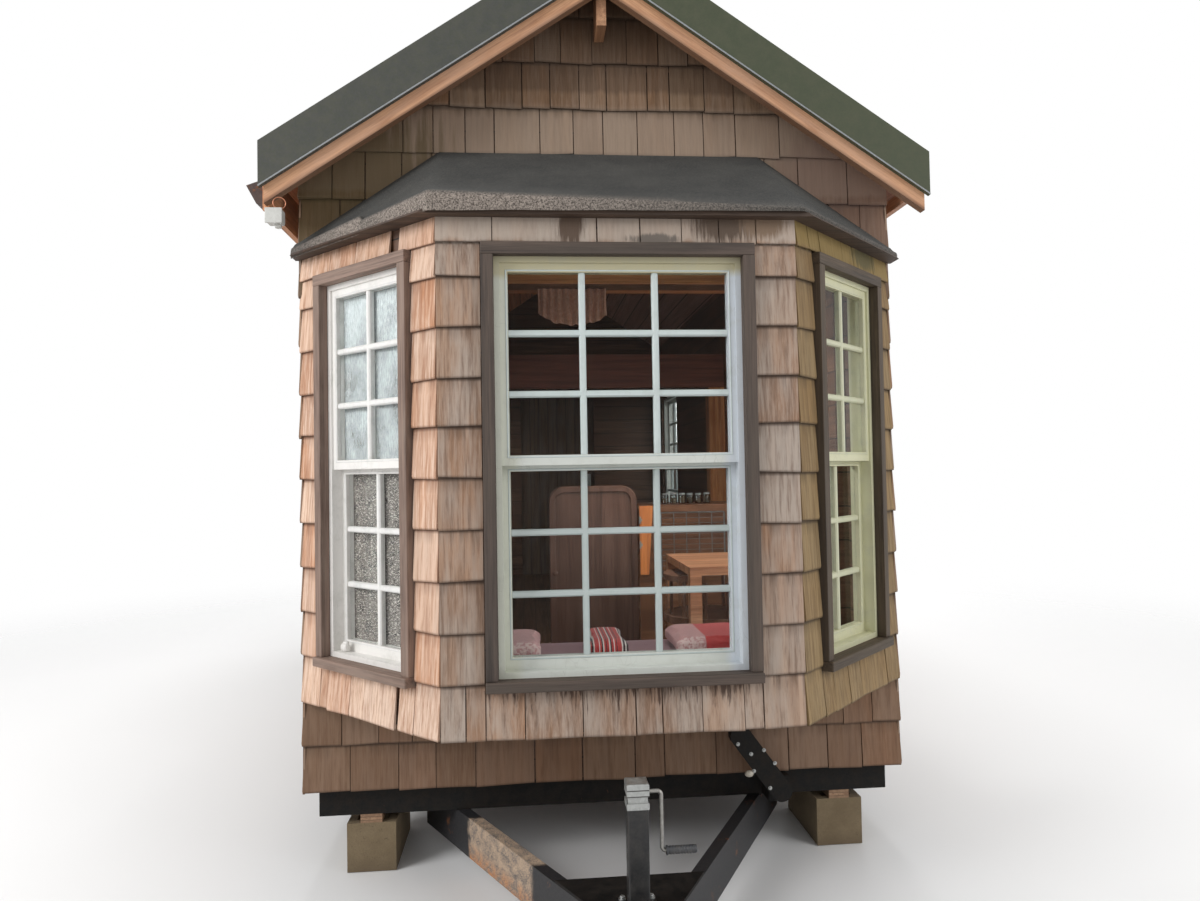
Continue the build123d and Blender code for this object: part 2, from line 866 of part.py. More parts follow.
with BuildPart() as metal_roofing:
    seam_count = int((deck_end - deck_start) / seam_spacing)
    first_seam = y_middle - seam_spacing * (seam_count - 1) / 2
    for side in (-1, 1):
        section = slope(side, ridge_gap / 2, half_roof, 0, roofing_depth)
        sheet_start = rake_face_front + rake_thickness
        sheet_end = rake_face_rear - rake_thickness
        extrude(across(section, sheet_start), sheet_end - sheet_start)
        seam = slope(side, ridge_cap_reach + ridge_gap, half_roof, -seam_height, 0)
        for index in range(seam_count):
            extrude(across(seam, first_seam + seam_spacing * index - seam_width / 2), seam_width)
export(metal_roofing, "metal_roofing")

cap_outline = [
    (-ridge_cap_reach, roof_z(ridge_cap_reach)),
    (0, roof_z(0)),
    (ridge_cap_reach, roof_z(ridge_cap_reach)),
    (ridge_cap_reach, roof_z(ridge_cap_reach, -ridge_cap_thickness)),
    (0, roof_z(0, -ridge_cap_thickness)),
    (-ridge_cap_reach, roof_z(ridge_cap_reach, -ridge_cap_thickness)),
]
with BuildPart() as ridge_cap:
    extrude(across(cap_outline, rake_face_front), rake_face_rear - rake_face_front)
export(ridge_cap, "ridge_cap")


def chevron(outer, top, bottom):
    """A band that follows both slopes and meets in a mitre under the ridge."""
    return [
        (-outer, roof_z(outer, top)),
        (0, roof_z(0, top)),
        (outer, roof_z(outer, top)),
        (outer, roof_z(outer, bottom)),
        (0, roof_z(0, bottom)),
        (-outer, roof_z(outer, bottom)),
    ]


with BuildPart() as rake_trims:
    for face in (rake_face_front, rake_face_rear - rake_thickness):
        extrude(across(chevron(half_roof, 0, rake_depth), face), rake_thickness)
export(rake_trims, "rake_trims")

with BuildPart() as barge_boards:
    barge = chevron(half_roof - barge_short, roofing_depth, rake_depth + barge_drop)
    for face in (rake_face_front + rake_thickness, rake_face_rear - rake_thickness - barge_thickness):
        extrude(across(barge, face), barge_thickness)
export(barge_boards, "barge_boards")

# Ridge beam: its end shows under the peak in front of the gable
with BuildPart() as ridge_beam:
    beam_top = roof_z(beam_width / 2, roofing_depth + deck_depth)
    lookout = rake_face_front + rake_thickness + barge_thickness
    box_between((-beam_width / 2, lookout, beam_top - beam_depth), (beam_width / 2, y_front, beam_top))
export(ridge_beam, "ridge_beam")

# Windows: a jamb frame in each hole, two sashes that pass each other, panes and outside casings
inner_low = window_bottom + jamb
inner_high = window_top - jamb
lower_top = inner_low + bottom_rail + lower_glass_height + meeting_rail
upper_low = lower_top - rail_overlap
lower_setback = upper_sash_setback + sash_thickness + sash_gap

with BuildPart() as window_frames:
    for plane, width in windows:
        outer = (width, window_bottom, window_top)
        inner = (width - 2 * jamb, inner_low, inner_high)
        extrude(ring_on(plane, outer, inner), -frame_inset_depth)
export(window_frames, "window_frames")

with BuildPart() as window_sashes:
    for plane, width in windows:
        opening = width - 2 * jamb
        pane = opening - 2 * stile
        upper = ring_on(
            plane,
            (opening, upper_low, inner_high),
            (pane, upper_low + meeting_rail, inner_high - top_rail),
            -upper_sash_setback,
        )
        extrude(upper, -sash_thickness)
        lower = ring_on(
            plane,
            (opening, inner_low, lower_top),
            (pane, inner_low + bottom_rail, lower_top - meeting_rail),
            -lower_setback,
        )
        extrude(lower, -sash_thickness)
export(window_sashes, "window_sashes")

with BuildPart() as window_glass:
    glass_inset = (sash_thickness - glass_thickness) / 2
    for plane, width in windows:
        pane = width - 2 * jamb - 2 * stile
        upper = (pane, upper_low + meeting_rail, inner_high - top_rail)
        lower = (pane, inner_low + bottom_rail, lower_top - meeting_rail)
        for setback, place in ((upper_sash_setback, upper), (lower_setback, lower)):
            extrude(rectangle_on(plane, *place, -(setback + glass_inset)), -glass_thickness)
export(window_glass, "window_glass")

with BuildPart() as window_casings:
    for plane, width in windows:
        outer = (width + 2 * casing_width, window_bottom, window_top + casing_width)
        inner = (width, window_bottom - overcut, window_top)
        extrude(ring_on(plane, outer, inner), casing_depth)
        sill = rectangle_on(plane, width + 2 * casing_width, window_bottom - sill_height, window_bottom)
        extrude(sill, sill_depth)
export(window_casings, "window_casings")

# Rear door and its casing
door_top = floor_top + door_height
door_front = y_rear - (wall_thickness + door_thickness) / 2
door_back = door_front + door_thickness
with BuildPart() as rear_door:
    box_between((-door_width / 2, door_front, floor_top), (door_width / 2, door_back, door_top))
export(rear_door, "rear_door")

# Door knob on a plate, each side of the leaf made in one with its plate
handle_x = door_width / 2 - handle_inset
handle_z = floor_top + handle_height
with BuildPart() as door_handle:
    for face, outwards in ((door_front, -1), (door_back, 1)):
        plate_ys = sorted((face, face + outwards * handle_plate_thickness))
        box_between(
            (handle_x - handle_plate / 2, plate_ys[0], handle_z - handle_plate_height / 2),
            (handle_x + handle_plate / 2, plate_ys[1], handle_z + handle_plate_height / 2),
        )
        knob_plane = Plane(origin=(handle_x, face, handle_z), x_dir=(1, 0, 0), z_dir=(0, outwards, 0))
        with BuildSketch(knob_plane, mode=Mode.PRIVATE) as neck:
            Circle(knob_neck / 2)
        extrude(neck.sketch, knob_reach)
        with BuildPart(knob_plane.offset(knob_reach - knob_length / 2), mode=Mode.PRIVATE) as knob:
            Cylinder(knob_diameter / 2, knob_length)
            chamfer(knob.edges().filter_by(GeomType.CIRCLE), knob_length / 3)
        add(knob.part)
export(door_handle, "door_handle")

with BuildPart() as door_casing:
    rear_plane = wall_plane(0, y_rear, 180)
    outer = (door_width + 2 * door_casing_width, floor_top, door_top + door_casing_width)
    inner = (door_width, floor_top - overcut, door_top)
    extrude(ring_on(rear_plane, outer, inner), casing_depth)
export(door_casing, "door_casing")

# Inside: timbers, valance, seat cushion and pillows in the bay, panel and furniture behind it
behind_wall = y_front + wall_thickness
with BuildPart() as header_beam:
    box_between(
        (-inner_half, behind_wall, bay_opening_top),
        (inner_half, behind_wall + header_width, bay_opening_top + header_depth),
    )
export(header_beam, "header_beam")

loft_front = y_front + loft_behind_wall
loft_bottom = floor_top + loft_height
with BuildPart() as loft_beam:
    box_between(
        (-inner_half, loft_front, loft_bottom),
        (inner_half, loft_front + loft_beam_width, loft_bottom + loft_beam_depth),
    )
export(loft_beam, "loft_beam")

with BuildPart() as interior_post:
    post_foot = floor_top
    if loft_front + post_size > y_axles - well_half - well_sheet:
        post_foot = well_top + well_sheet
    box_between(
        (inner_half - post_size, loft_front, post_foot),
        (inner_half, loft_front + post_size, loft_bottom),
    )
export(interior_post, "interior_post")

with BuildPart() as seat_cushion:
    margin = cushion_margin
    outline = [
        (-inner_end_x + 2 * margin, y_front - soft_gap),
        (-inner_corner_x + margin / 2, inner_bay_y + margin),
        (inner_corner_x - margin / 2, inner_bay_y + margin),
        (inner_end_x - 2 * margin, y_front - soft_gap),
    ]
    extrude(plan(outline, bay_floor_top + soft_gap), cushion_thickness)
export(seat_cushion, "seat_cushion")

# Two square pillows lie flat on the cushion with a narrow one between them
pillow_low = bay_floor_top + cushion_thickness + 2 * soft_gap
pillow_middle = (inner_bay_y + pillow_from_window + pillow_size / 2, pillow_low + pillow_thickness / 2)


def flat_pillow(x, width, rounding, name):
    with BuildPart() as pillow:
        with Locations((x, *pillow_middle)):
            Box(width, pillow_size, pillow_thickness)
        fillet(pillow.edges().filter_by(Axis.Z), rounding)
    export(pillow, name)


flat_pillow(pillow_xs[0], pillow_size, pillow_rounding, "pillow_left")
flat_pillow(pillow_xs[1], narrow_pillow, narrow_pillow_rounding, "pillow_center")
flat_pillow(pillow_xs[2], pillow_size, pillow_rounding, "pillow_right")

# A gathered cloth hangs from the head of the bay's opening
with BuildPart() as valance:
    valance_top = bay_opening_top - soft_gap
    box_between(
        (valance_x - valance_width / 2, y_front + valance_inset, valance_top - valance_drop),
        (valance_x + valance_width / 2, y_front + valance_inset + valance_depth, valance_top),
    )
export(valance, "valance")

with BuildPart() as arched_panel:
    panel_plane = wall_plane(0, y_front + panel_behind_wall, 0)
    with BuildSketch(panel_plane, mode=Mode.PRIVATE) as panel_outline:
        with Locations((0, floor_top + panel_height / 2)):
            Rectangle(panel_width, panel_height)
        fillet(panel_outline.vertices().group_by(Axis.Z)[-1], panel_rounding)
    extrude(panel_outline.sketch, -panel_thickness)
export(arched_panel, "arched_panel")

with BuildPart() as table:
    table_top = floor_top + table_height
    table_front = y_front + table_behind_wall
    box_between(
        (table_left, table_front, table_top - table_thickness),
        (inner_half, table_front + table_depth, table_top),
    )
    for leg_y in (table_front, table_front + table_depth - table_leg):
        box_between(
            (table_left, leg_y, floor_top),
            (table_left + table_leg, leg_y + table_leg, table_top - table_thickness),
        )
export(table, "table")

# Cabinet: boards round two shelves, open to the aisle
cabinet_y = y_front + cabinet_behind_wall
cabinet_top = floor_top + cabinet_height
with BuildPart() as cabinet:
    box_between((cabinet_left, cabinet_y, floor_top), (inner_half, cabinet_y + cabinet_depth, cabinet_top))
    bay_height = (cabinet_height - cabinet_board) / (cabinet_shelves + 1)
    for shelf in range(cabinet_shelves + 1):
        shelf_top = floor_top + cabinet_board + bay_height * shelf
        box_between(
            (cabinet_left - overcut, cabinet_y + cabinet_board, shelf_top),
            (
                inner_half - cabinet_board,
                cabinet_y + cabinet_depth - cabinet_board,
                shelf_top + bay_height - cabinet_board,
            ),
            Mode.SUBTRACT,
        )
export(cabinet, "cabinet")

# Low chair under the table: seat on four legs, arm rail bent round the back on spindles
chair_y = y_front + wall_thickness + chair_behind_wall
seat_top = floor_top + chair_seat
rail_top = seat_top + chair_arm
with BuildPart() as chair:
    with Locations((chair_x, chair_y, seat_top - chair_seat_thickness / 2)):
        Cylinder(chair_width / 2, chair_seat_thickness)
    leg_inset = chair_width / 2 - chair_leg * 2
    leg_length = chair_seat - chair_seat_thickness
    with Locations((chair_x, chair_y, floor_top + leg_length / 2)):
        with GridLocations(leg_inset * sqrt(2), leg_inset * sqrt(2), 2, 2):
            Box(chair_leg, chair_leg, leg_length)
    rail_radius = chair_width / 2 - chair_rail
    with Locations((chair_x, chair_y, rail_top - chair_rail / 2)):
        Cylinder(rail_radius + chair_rail, chair_rail)
        Cylinder(rail_radius - chair_rail, chair_rail, mode=Mode.SUBTRACT)
        with Locations((0, -chair_rail_front - chair_width / 2, 0)):
            Box(chair_width, chair_width, chair_rail, mode=Mode.SUBTRACT)
    with Locations((chair_x, chair_y, seat_top + (chair_arm - chair_rail) / 2)):
        with PolarLocations(rail_radius, chair_spindles, spindle_start, spindle_sweep, endpoint=True):
            Box(chair_rail / 2, chair_rail / 2, chair_arm - chair_rail)
export(chair, "chair")
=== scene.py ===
import math
import random
from contextlib import contextmanager
from functools import cached_property

import bpy
import numpy as np
from mathutils import Matrix, Vector


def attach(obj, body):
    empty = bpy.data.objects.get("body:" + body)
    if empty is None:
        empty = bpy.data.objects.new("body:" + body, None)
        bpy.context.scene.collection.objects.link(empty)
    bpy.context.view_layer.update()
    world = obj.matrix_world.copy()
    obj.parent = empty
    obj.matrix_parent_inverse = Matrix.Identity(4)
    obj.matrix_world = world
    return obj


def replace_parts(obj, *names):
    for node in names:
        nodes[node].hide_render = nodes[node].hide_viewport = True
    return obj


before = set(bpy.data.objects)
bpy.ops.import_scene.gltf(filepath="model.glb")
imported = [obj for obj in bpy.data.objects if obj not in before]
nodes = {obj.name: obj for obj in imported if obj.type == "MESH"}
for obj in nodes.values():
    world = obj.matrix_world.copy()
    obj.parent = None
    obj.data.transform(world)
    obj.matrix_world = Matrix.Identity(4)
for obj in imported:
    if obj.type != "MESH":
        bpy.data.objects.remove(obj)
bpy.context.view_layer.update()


# The camera stands in front of the bay, a little left of the middle, at chest height. Its place, turn and
# lens were fitted to the edges of the windows, bay, walls and roof.
def new_object(name, data):
    """A new object in the scene."""
    made = bpy.data.objects.new(name, data)
    bpy.context.scene.collection.objects.link(made)
    return made


picture_pixels, lens_pixels, sensor_width = 1200, 832.26, 36
yaw, pitch, roll = (math.radians(angle) for angle in (-4.99, 1.43, -0.99))
camera = new_object("camera", bpy.data.cameras.new("camera"))
camera.data.sensor_width = sensor_width
camera.data.lens = lens_pixels / picture_pixels * sensor_width
camera.matrix_world = (Matrix.Translation((-0.31506, -5.59772, 1.56078)) @ Matrix.Rotation(yaw, 4, "Z")
                       @ Matrix.Rotation(math.pi / 2 + pitch, 4, "X") @ Matrix.Rotation(roll, 4, "Z"))
bpy.context.scene.camera = camera
bpy.context.scene.view_settings.view_transform = "Standard"


# The stage is a wide pale floor under soft white light: a broad lamp on the left, a weaker one on the
# right, one from above, a small one in the bay's head, and an even pale surround that shows as plain white.
def feed(made, inputs):
    """Give a node its inputs, by name or number: another node's output, a number or a colour."""
    for key, value in inputs.items():
        socket = made.inputs[key]
        if isinstance(value, Value):
            made.id_data.links.new(value.socket, socket)
        else:
            socket.default_value = (*value, 1) if socket.type == "RGBA" else value


def add(tree, kind, inputs, **settings):
    """A new node with its settings and inputs."""
    made = tree.nodes.new("ShaderNode" + kind)
    for key, value in settings.items():
        setattr(made, key, value)
    feed(made, inputs)
    return made


class Value:
    """A node's output, from which further nodes work out masks, colours and heights."""

    def __init__(self, socket):
        self.socket = socket

    def into(self, kind, inputs, out=0, **settings):
        """What a new node beside this one puts out."""
        return Value(add(self.socket.id_data, kind, inputs, **settings).outputs[out])

    def reckon(self, operation, other=0.5, **settings):
        return self.into("Math", {0: self, 1: other}, operation=operation, **settings)

    def __add__(self, other):
        return self.reckon("ADD", other)

    def __sub__(self, other):
        return self.reckon("SUBTRACT", other)

    def __mul__(self, other):
        return self.reckon("MULTIPLY", other)

    def __rmul__(self, number):
        return self.into("Math", {0: number, 1: self}, operation="MULTIPLY")

    def ramp(self, low, high, start=0.0, end=1.0, **settings):
        """Stretched between two limits to another range, and clamped."""
        return self.into("MapRange", {0: self, 1: low, 2: high, 3: start, 4: end}, **settings)

    def mix(self, first, second):
        """Two colours, mixed by this value."""
        return self.into("Mix", {0: self, 6: first, 7: second}, 2, data_type="RGBA")

    def vector(self, operation, *others, out=0):
        """Vector arithmetic with places or colours."""
        return self.into("VectorMath", dict(enumerate((self, *others))), out, operation=operation)

    def noise(self, scale, detail=3.0, roughness=0.55, distortion=0.0):
        """Noise on this place, in waves a metre."""
        return self.into("TexNoise", {"Vector": self, "Scale": scale, "Detail": detail,
                                      "Roughness": roughness, "Distortion": distortion}, "Fac")

    def parts(self, kind="XYZ"):
        """Its X, Y and Z, or its red, green and blue."""
        return [Value(part) for part in add(self.socket.id_data, "Separate" + kind, {0: self}).outputs]


class Finish:
    """A material in the making: coats of colour over a first one, on the object's own coordinates."""

    def __init__(self, name, color=None):
        self.material = bpy.data.materials.new(name)
        self.material.use_nodes = True
        self.color = color

    @cached_property
    def place(self):
        """The object's own coordinates."""
        return self.add("TexCoord", "Object")

    def add(self, kind, out, inputs=None, **settings):
        """What a new node puts out."""
        return Value(add(self.material.node_tree, kind, inputs or {}, **settings).outputs[out])

    def coat(self, share, tint):
        """Lay a colour over a share of the last one."""
        self.color = share.mix(self.color, tint)

    def done(self, roughness, height=None, strength=0.5, depth=0.001, **sockets):
        """The finished material, with its roughness, its relief and other inputs of its shader."""
        if height:
            relief = {"Strength": strength, "Distance": depth, "Height": height}
            sockets["Normal"] = height.into("Bump", relief)
        others = {key.replace("_", " "): value for key, value in sockets.items()}
        shader = self.material.node_tree.nodes["Principled BSDF"]
        feed(shader, {"Base Color": self.color, "Roughness": roughness, **others})
        return self.material


def take(*pieces):
    """Select these pieces alone, the first one active, so that an operator acts on nothing else."""
    if bpy.context.object and bpy.context.object.mode != "OBJECT":
        bpy.ops.object.mode_set(mode="OBJECT")
    bpy.ops.object.select_all(action="DESELECT")
    for piece in pieces:
        piece.select_set(True)
    bpy.context.view_layer.objects.active = pieces[0] if pieces else None


def primitive(operator, **sizes):
    """A new primitive, selected alone."""
    take()
    operator(**sizes)
    return bpy.context.object


pale_floor = Finish("stage_floor", (0.82, 0.82, 0.82))
distance = pale_floor.place.vector("LENGTH", out="Value")
stage_floor = primitive(bpy.ops.mesh.primitive_plane_add, size=60, location=(0, 0, -0.002))
stage_floor.name = "stage_floor"
stage_floor.data.materials.append(
    pale_floor.done(0.9, Alpha=distance.ramp(2.4, 9.0, 1.0, 0.0, interpolation_type="SMOOTHERSTEP")))

world = bpy.data.worlds.new("surround")
bpy.context.scene.world = world
world.use_nodes = True
rays = {socket.name: Value(socket) for socket in add(world.node_tree, "LightPath", {}).outputs}
seen = rays["Is Camera Ray"].reckon("MAXIMUM", rays["Is Transmission Ray"])
seen = seen.reckon("MAXIMUM", rays["Is Glossy Ray"])
strength = seen.into("Mix", {0: seen, 2: 0.62, 3: 1.0})
feed(world.node_tree.nodes["Background"], {"Color": (1, 1, 1), "Strength": strength})
for name, place, aim, size, watts in (
    ("lamp_left", (-6.5, -5.5, 4.6), (0, -1.5, 1.6), 3.2, 340),
    ("lamp_right", (6.5, -6.5, 4.0), (0, -1.5, 1.6), 4.0, 210),
    ("lamp_top", (0, 1.5, 8.0), (0, 0.5, 0), 5.0, 330),
    ("lamp_rear", (4.0, 9.0, 4.0), (0, 2.0, 1.5), 4.0, 280),
    ("lamp_bay", (0.3, -1.95, 2.27), (0.8, -1.2, 0.85), 0.4, 13),
):
    lamp = new_object(name, bpy.data.lights.new(name, "AREA"))
    lamp.data.energy, lamp.data.size, lamp.location = watts, size, place
    lamp.rotation_euler = (Vector(aim) - Vector(place)).to_track_quat("-Z", "Y").to_euler()
    lamp.visible_camera = lamp.visible_glossy = lamp.visible_transmission = name != "lamp_bay"


# Cedar shingles: sawn boards, thick at the lower edge, nailed in level courses over the sheathing.
# Each has its own width, tone and slight tilt. The joints of one course miss those of the course below.
def settle(piece, name=None, material=None, slot=None, body="house"):
    """Put the piece's place into its mesh, name it, give it its material and let it ride on its body."""
    take(piece)
    bpy.ops.object.transform_apply(location=True, rotation=True, scale=True)
    if name:
        piece.name = piece.data.name = name
    if material:
        piece.data.materials.clear()
        piece.data.materials.append(material)
    if slot:
        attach(piece, body)
    return piece


@contextmanager
def all_of(piece):
    """Edit a piece with all of it selected."""
    take(piece)
    bpy.ops.object.mode_set(mode="EDIT")
    bpy.ops.mesh.select_all(action="SELECT")
    yield
    bpy.ops.object.mode_set(mode="OBJECT")


def cut_above(piece, point, normal):
    """Cut away what stands on the normal's side of a plane and close the cut."""
    with all_of(piece):
        bpy.ops.mesh.bisect(plane_co=point, plane_no=normal, clear_outer=True, use_fill=True, threshold=1e-5)


shingle_pattern = settle(primitive(
    bpy.ops.mesh.primitive_grid_add, x_subdivisions=4, y_subdivisions=3, size=1,
    rotation=(math.pi / 2, 0, 0)))
for vertex in shingle_pattern.data.vertices:
    row = round((vertex.co.z + 0.5) * 3)
    vertex.co = vertex.co.x + 0.5, -(14.6, 16.5, 7.6, 1.6)[row], (0.0, 0.06, 1.0, 1.9)[row]
with all_of(shingle_pattern):
    bpy.ops.mesh.extrude_region_move(TRANSFORM_OT_translate={"value": (0, 9.0, 0)})
    bpy.ops.mesh.select_all(action="SELECT")
    bpy.ops.mesh.normals_make_consistent(inside=False)
for vertex in shingle_pattern.data.vertices:
    if vertex.co.y > -7.6 and vertex.co.z < 0.5:
        vertex.co.y, vertex.co.z = -7.0, 0.0
    elif vertex.co.y > -7.0 and vertex.co.z > 0.5:
        vertex.co.y = -0.4 if vertex.co.z > 1.5 else -3.2


class Face:
    """An outside face of a wall: a point on it, its direction along the wall and its outward normal."""

    def __init__(self, x, y, angle):
        self.angle = math.radians(angle)
        self.origin = np.array([x, y, 0.0])
        self.along = np.array([math.cos(self.angle), math.sin(self.angle), 0.0])
        self.out = np.array([math.sin(self.angle), -math.cos(self.angle), 0.0])

    def at(self, along, out, z):
        """Points from distances along the wall, out of it, and heights above the ground."""
        along, out, z = np.broadcast_arrays(along, out, z)
        up = np.array([0.0, 0.0, 1.0])
        return self.origin + along[..., None] * self.along + out[..., None] * self.out + z[..., None] * up

    def point(self, along, out, z):
        return Vector(self.at(along, out, z))


def beside(band, hole):
    """What is left of a course's band beside, under and over a hole, both (left, right, bottom, top)."""
    (a, b, z0, z1), (left, right, bottom, upper) = band, hole
    if b <= left or a >= right or z1 <= bottom or z0 >= upper:
        return [band]
    rest = [(a, left, z0, z1)] if a < left else []
    if b > right:
        rest.append((right, b, z0, z1))
    if z0 < bottom - 0.02:
        rest.append((max(a, left), min(b, right), z0, bottom))
    if z1 > upper + 0.02:
        rest.append((max(a, left), min(b, right), upper, z1))
    return rest


def joints_between(low, high, chance, joints_below, narrow=0.085, wide=0.235):
    """Edges of a course's shingles between two places, clear of the joints below where it can be."""
    edges = [low]
    while high - edges[-1] > wide:
        for attempt in range(8):
            edge = edges[-1] + chance.uniform(narrow, wide)
            if all(abs(edge - joint) > 0.03 for joint in joints_below):
                break
        if high - edge < narrow:
            break
        edges.append(edge)
    return edges + [high]


def shingle(name, material, face, reach, lines, top, holes, seed, given=None, flare=0.0):
    """Shingle a wall from its lines up, round its holes, with the given joints of some courses."""
    chance = random.Random(seed)
    given = given or {}
    local = np.array([v.co[:] for v in shingle_pattern.data.vertices])
    u, depth = local[:, 0], -local[:, 1] / 1000
    spots, tones, below = [], [], []
    for number, (start, end) in enumerate(zip(lines, [*lines[1:], top])):
        bands = [(-reach, reach, start, end)]
        for hole in holes:
            bands = [rest for band in bands for rest in beside(band, hole)]
        joints = []
        for a, b, z0, z1 in bands:
            if b - a < 0.012:
                continue
            if number in given:
                edges = [a] + [e for e in given[number] if a + 0.03 < e < b - 0.03] + [b]
            else:
                edges = joints_between(a, b, chance, below)
            joints += edges
            whole = z1 - z0
            v = np.minimum(local[:, 2], 1.9 if z1 == end and end != top and whole > 0.1 else 1.0)
            exposed = 1 - np.minimum(v, 1.0)
            for left, right in zip(edges[:-1], edges[1:]):
                gap, tilt = chance.uniform(0.0010, 0.0030), chance.uniform(-0.006, 0.006)
                lift = chance.uniform(0, 0.0016)
                drop = chance.uniform(-0.003, 0.003) if z0 == start else 0.0
                cup = chance.uniform(-0.0012, 0.0018)
                tones.append((chance.random(), chance.random(), chance.random(), 1.0))
                hem = flare if number == 0 else 0.0
                out = depth + (lift + hem) * exposed + cup * (2 * u - 1) ** 2 * exposed
                z = z0 + v * whole + (drop + tilt * (u - 0.5) * (right - left) / 0.15) * exposed
                spots.append(face.at(left + gap + u * (right - left - 2 * gap), out, z))
        below = joints
    count = len(local)
    made = bpy.data.meshes.new(name)
    made.from_pydata(np.concatenate(spots).tolist(), [],
                     [[number * count + i for i in polygon.vertices] for number in range(len(spots))
                      for polygon in shingle_pattern.data.polygons])
    tone = made.color_attributes.new("tone", "FLOAT_COLOR", "POINT")
    tone.data.foreach_set("color", np.repeat(tones, count, axis=0).ravel().astype(np.float32))
    corners = np.zeros(len(made.loops), dtype=np.int32)
    made.loops.foreach_get("vertex_index", corners)
    chart = made.uv_layers.new(name="UVMap")
    chart.data.foreach_set("uv", local[corners % count][:, [0, 2]].ravel().astype(np.float32))
    made.update()
    made.materials.append(material)
    wall = new_object(name, made)
    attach(wall, "house")
    return wall


half_width, half_roof = 1.186, 1.2955
wall_front, wall_rear, bay_front = -2.245, 3.235, -2.827
ridge_top, roof_slope, roof_layers = 3.6737, 8 / 12, 0.110
middle_y = (wall_front + wall_rear) / 2
front_face, rear_face = Face(0, wall_front, 0), Face(0, wall_rear, 180)
left_face, right_face = Face(-half_width, middle_y, -90), Face(half_width, middle_y, 90)
bay_face = Face(0, bay_front, 0)
bay_left_face, bay_right_face = Face(-0.895, -2.536, -45), Face(0.895, -2.536, 45)
window_low, window_high, casing_wide, sill_high, casing_clear = 0.883, 2.282, 0.041, 0.035, 0.002
window_wide, side_window_wide, front_window_y, rear_window_y = 0.838, 0.483, -1.5, 2.49
door_half, door_low, door_high, door_case = 0.380, 0.496, 2.426, 0.090


def casing_hole(middle, width):
    """The outline of a window's casing and sill, that the shingles stop at."""
    reach = width / 2 + casing_wide + casing_clear
    return middle - reach, middle + reach, window_low - sill_high, window_high + casing_wide + casing_clear


def effect(**first_values):
    """Make a shared effect, a node group, of a function that works its outputs out from its inputs."""
    def build(work_out):
        group = bpy.data.node_groups.new(work_out.__name__, "ShaderNodeTree")

        def socket(name, in_out, is_vector):
            kind = "NodeSocketVector" if is_vector else "NodeSocketFloat"
            return group.interface.new_socket(name, in_out=in_out, socket_type=kind)

        for name, value in first_values.items():
            socket(name, "INPUT", isinstance(value, tuple)).default_value = value
        given = group.nodes.new("NodeGroupInput")
        results = work_out(*[Value(given.outputs[name]) for name in first_values])
        for name in results:
            socket(name, "OUTPUT", name == "Vector")
        feed(group.nodes.new("NodeGroupOutput"), results)

        def placed(first, **values):
            """What the effect puts out in a material, from its first input and other values."""
            inputs = {next(iter(first_values)): first, **values}
            outputs = add(first.socket.id_data, "Group", inputs, node_tree=group).outputs
            return [Value(output) for output in outputs] if len(outputs) > 1 else Value(outputs[0])

        return placed
    return build


@effect(Vector=(0, 0, 0), Stretch=(1, 1, 0.04), Shift=(0, 0, 0))
def wood_figure(place, stretch, shift):
    """The figure of wood, drawn out along the grain and shifted from board to board."""
    shifted = shift.vector("MULTIPLY_ADD", (13.7, 9.3, 5.1), place.vector("MULTIPLY", stretch))
    fine, streak = shifted.noise(210, 5, 0.62), shifted.noise(88, 4, 0.7)
    blotch = place.vector("MULTIPLY_ADD", (0.25, 0.25, 0.25), shifted).noise(9, 4, 0.6)
    return {"Fine": fine, "Streak": streak, "Band": shifted.noise(34, 3, 0.5, 0.4), "Blotch": blotch,
            "Height": fine + streak * 0.8}


@effect(Vector=(0, 0, 0), Middle=(0, 0, 0), Reach=(1, 1, 1), Streak=(1, 1, 1))
def smudge(place, middle, reach, streak):
    """A stain round a middle, with a ragged edge."""
    away = place.vector("SUBTRACT", middle).vector("DIVIDE", reach).vector("LENGTH", out="Value")
    return {"Mask": (place.vector("MULTIPLY", streak).noise(55, 5, 0.7) * 1.8 - away).ramp(-0.2, 0.25)}


def darker(tint, share):
    return tuple(part * share for part in tint)


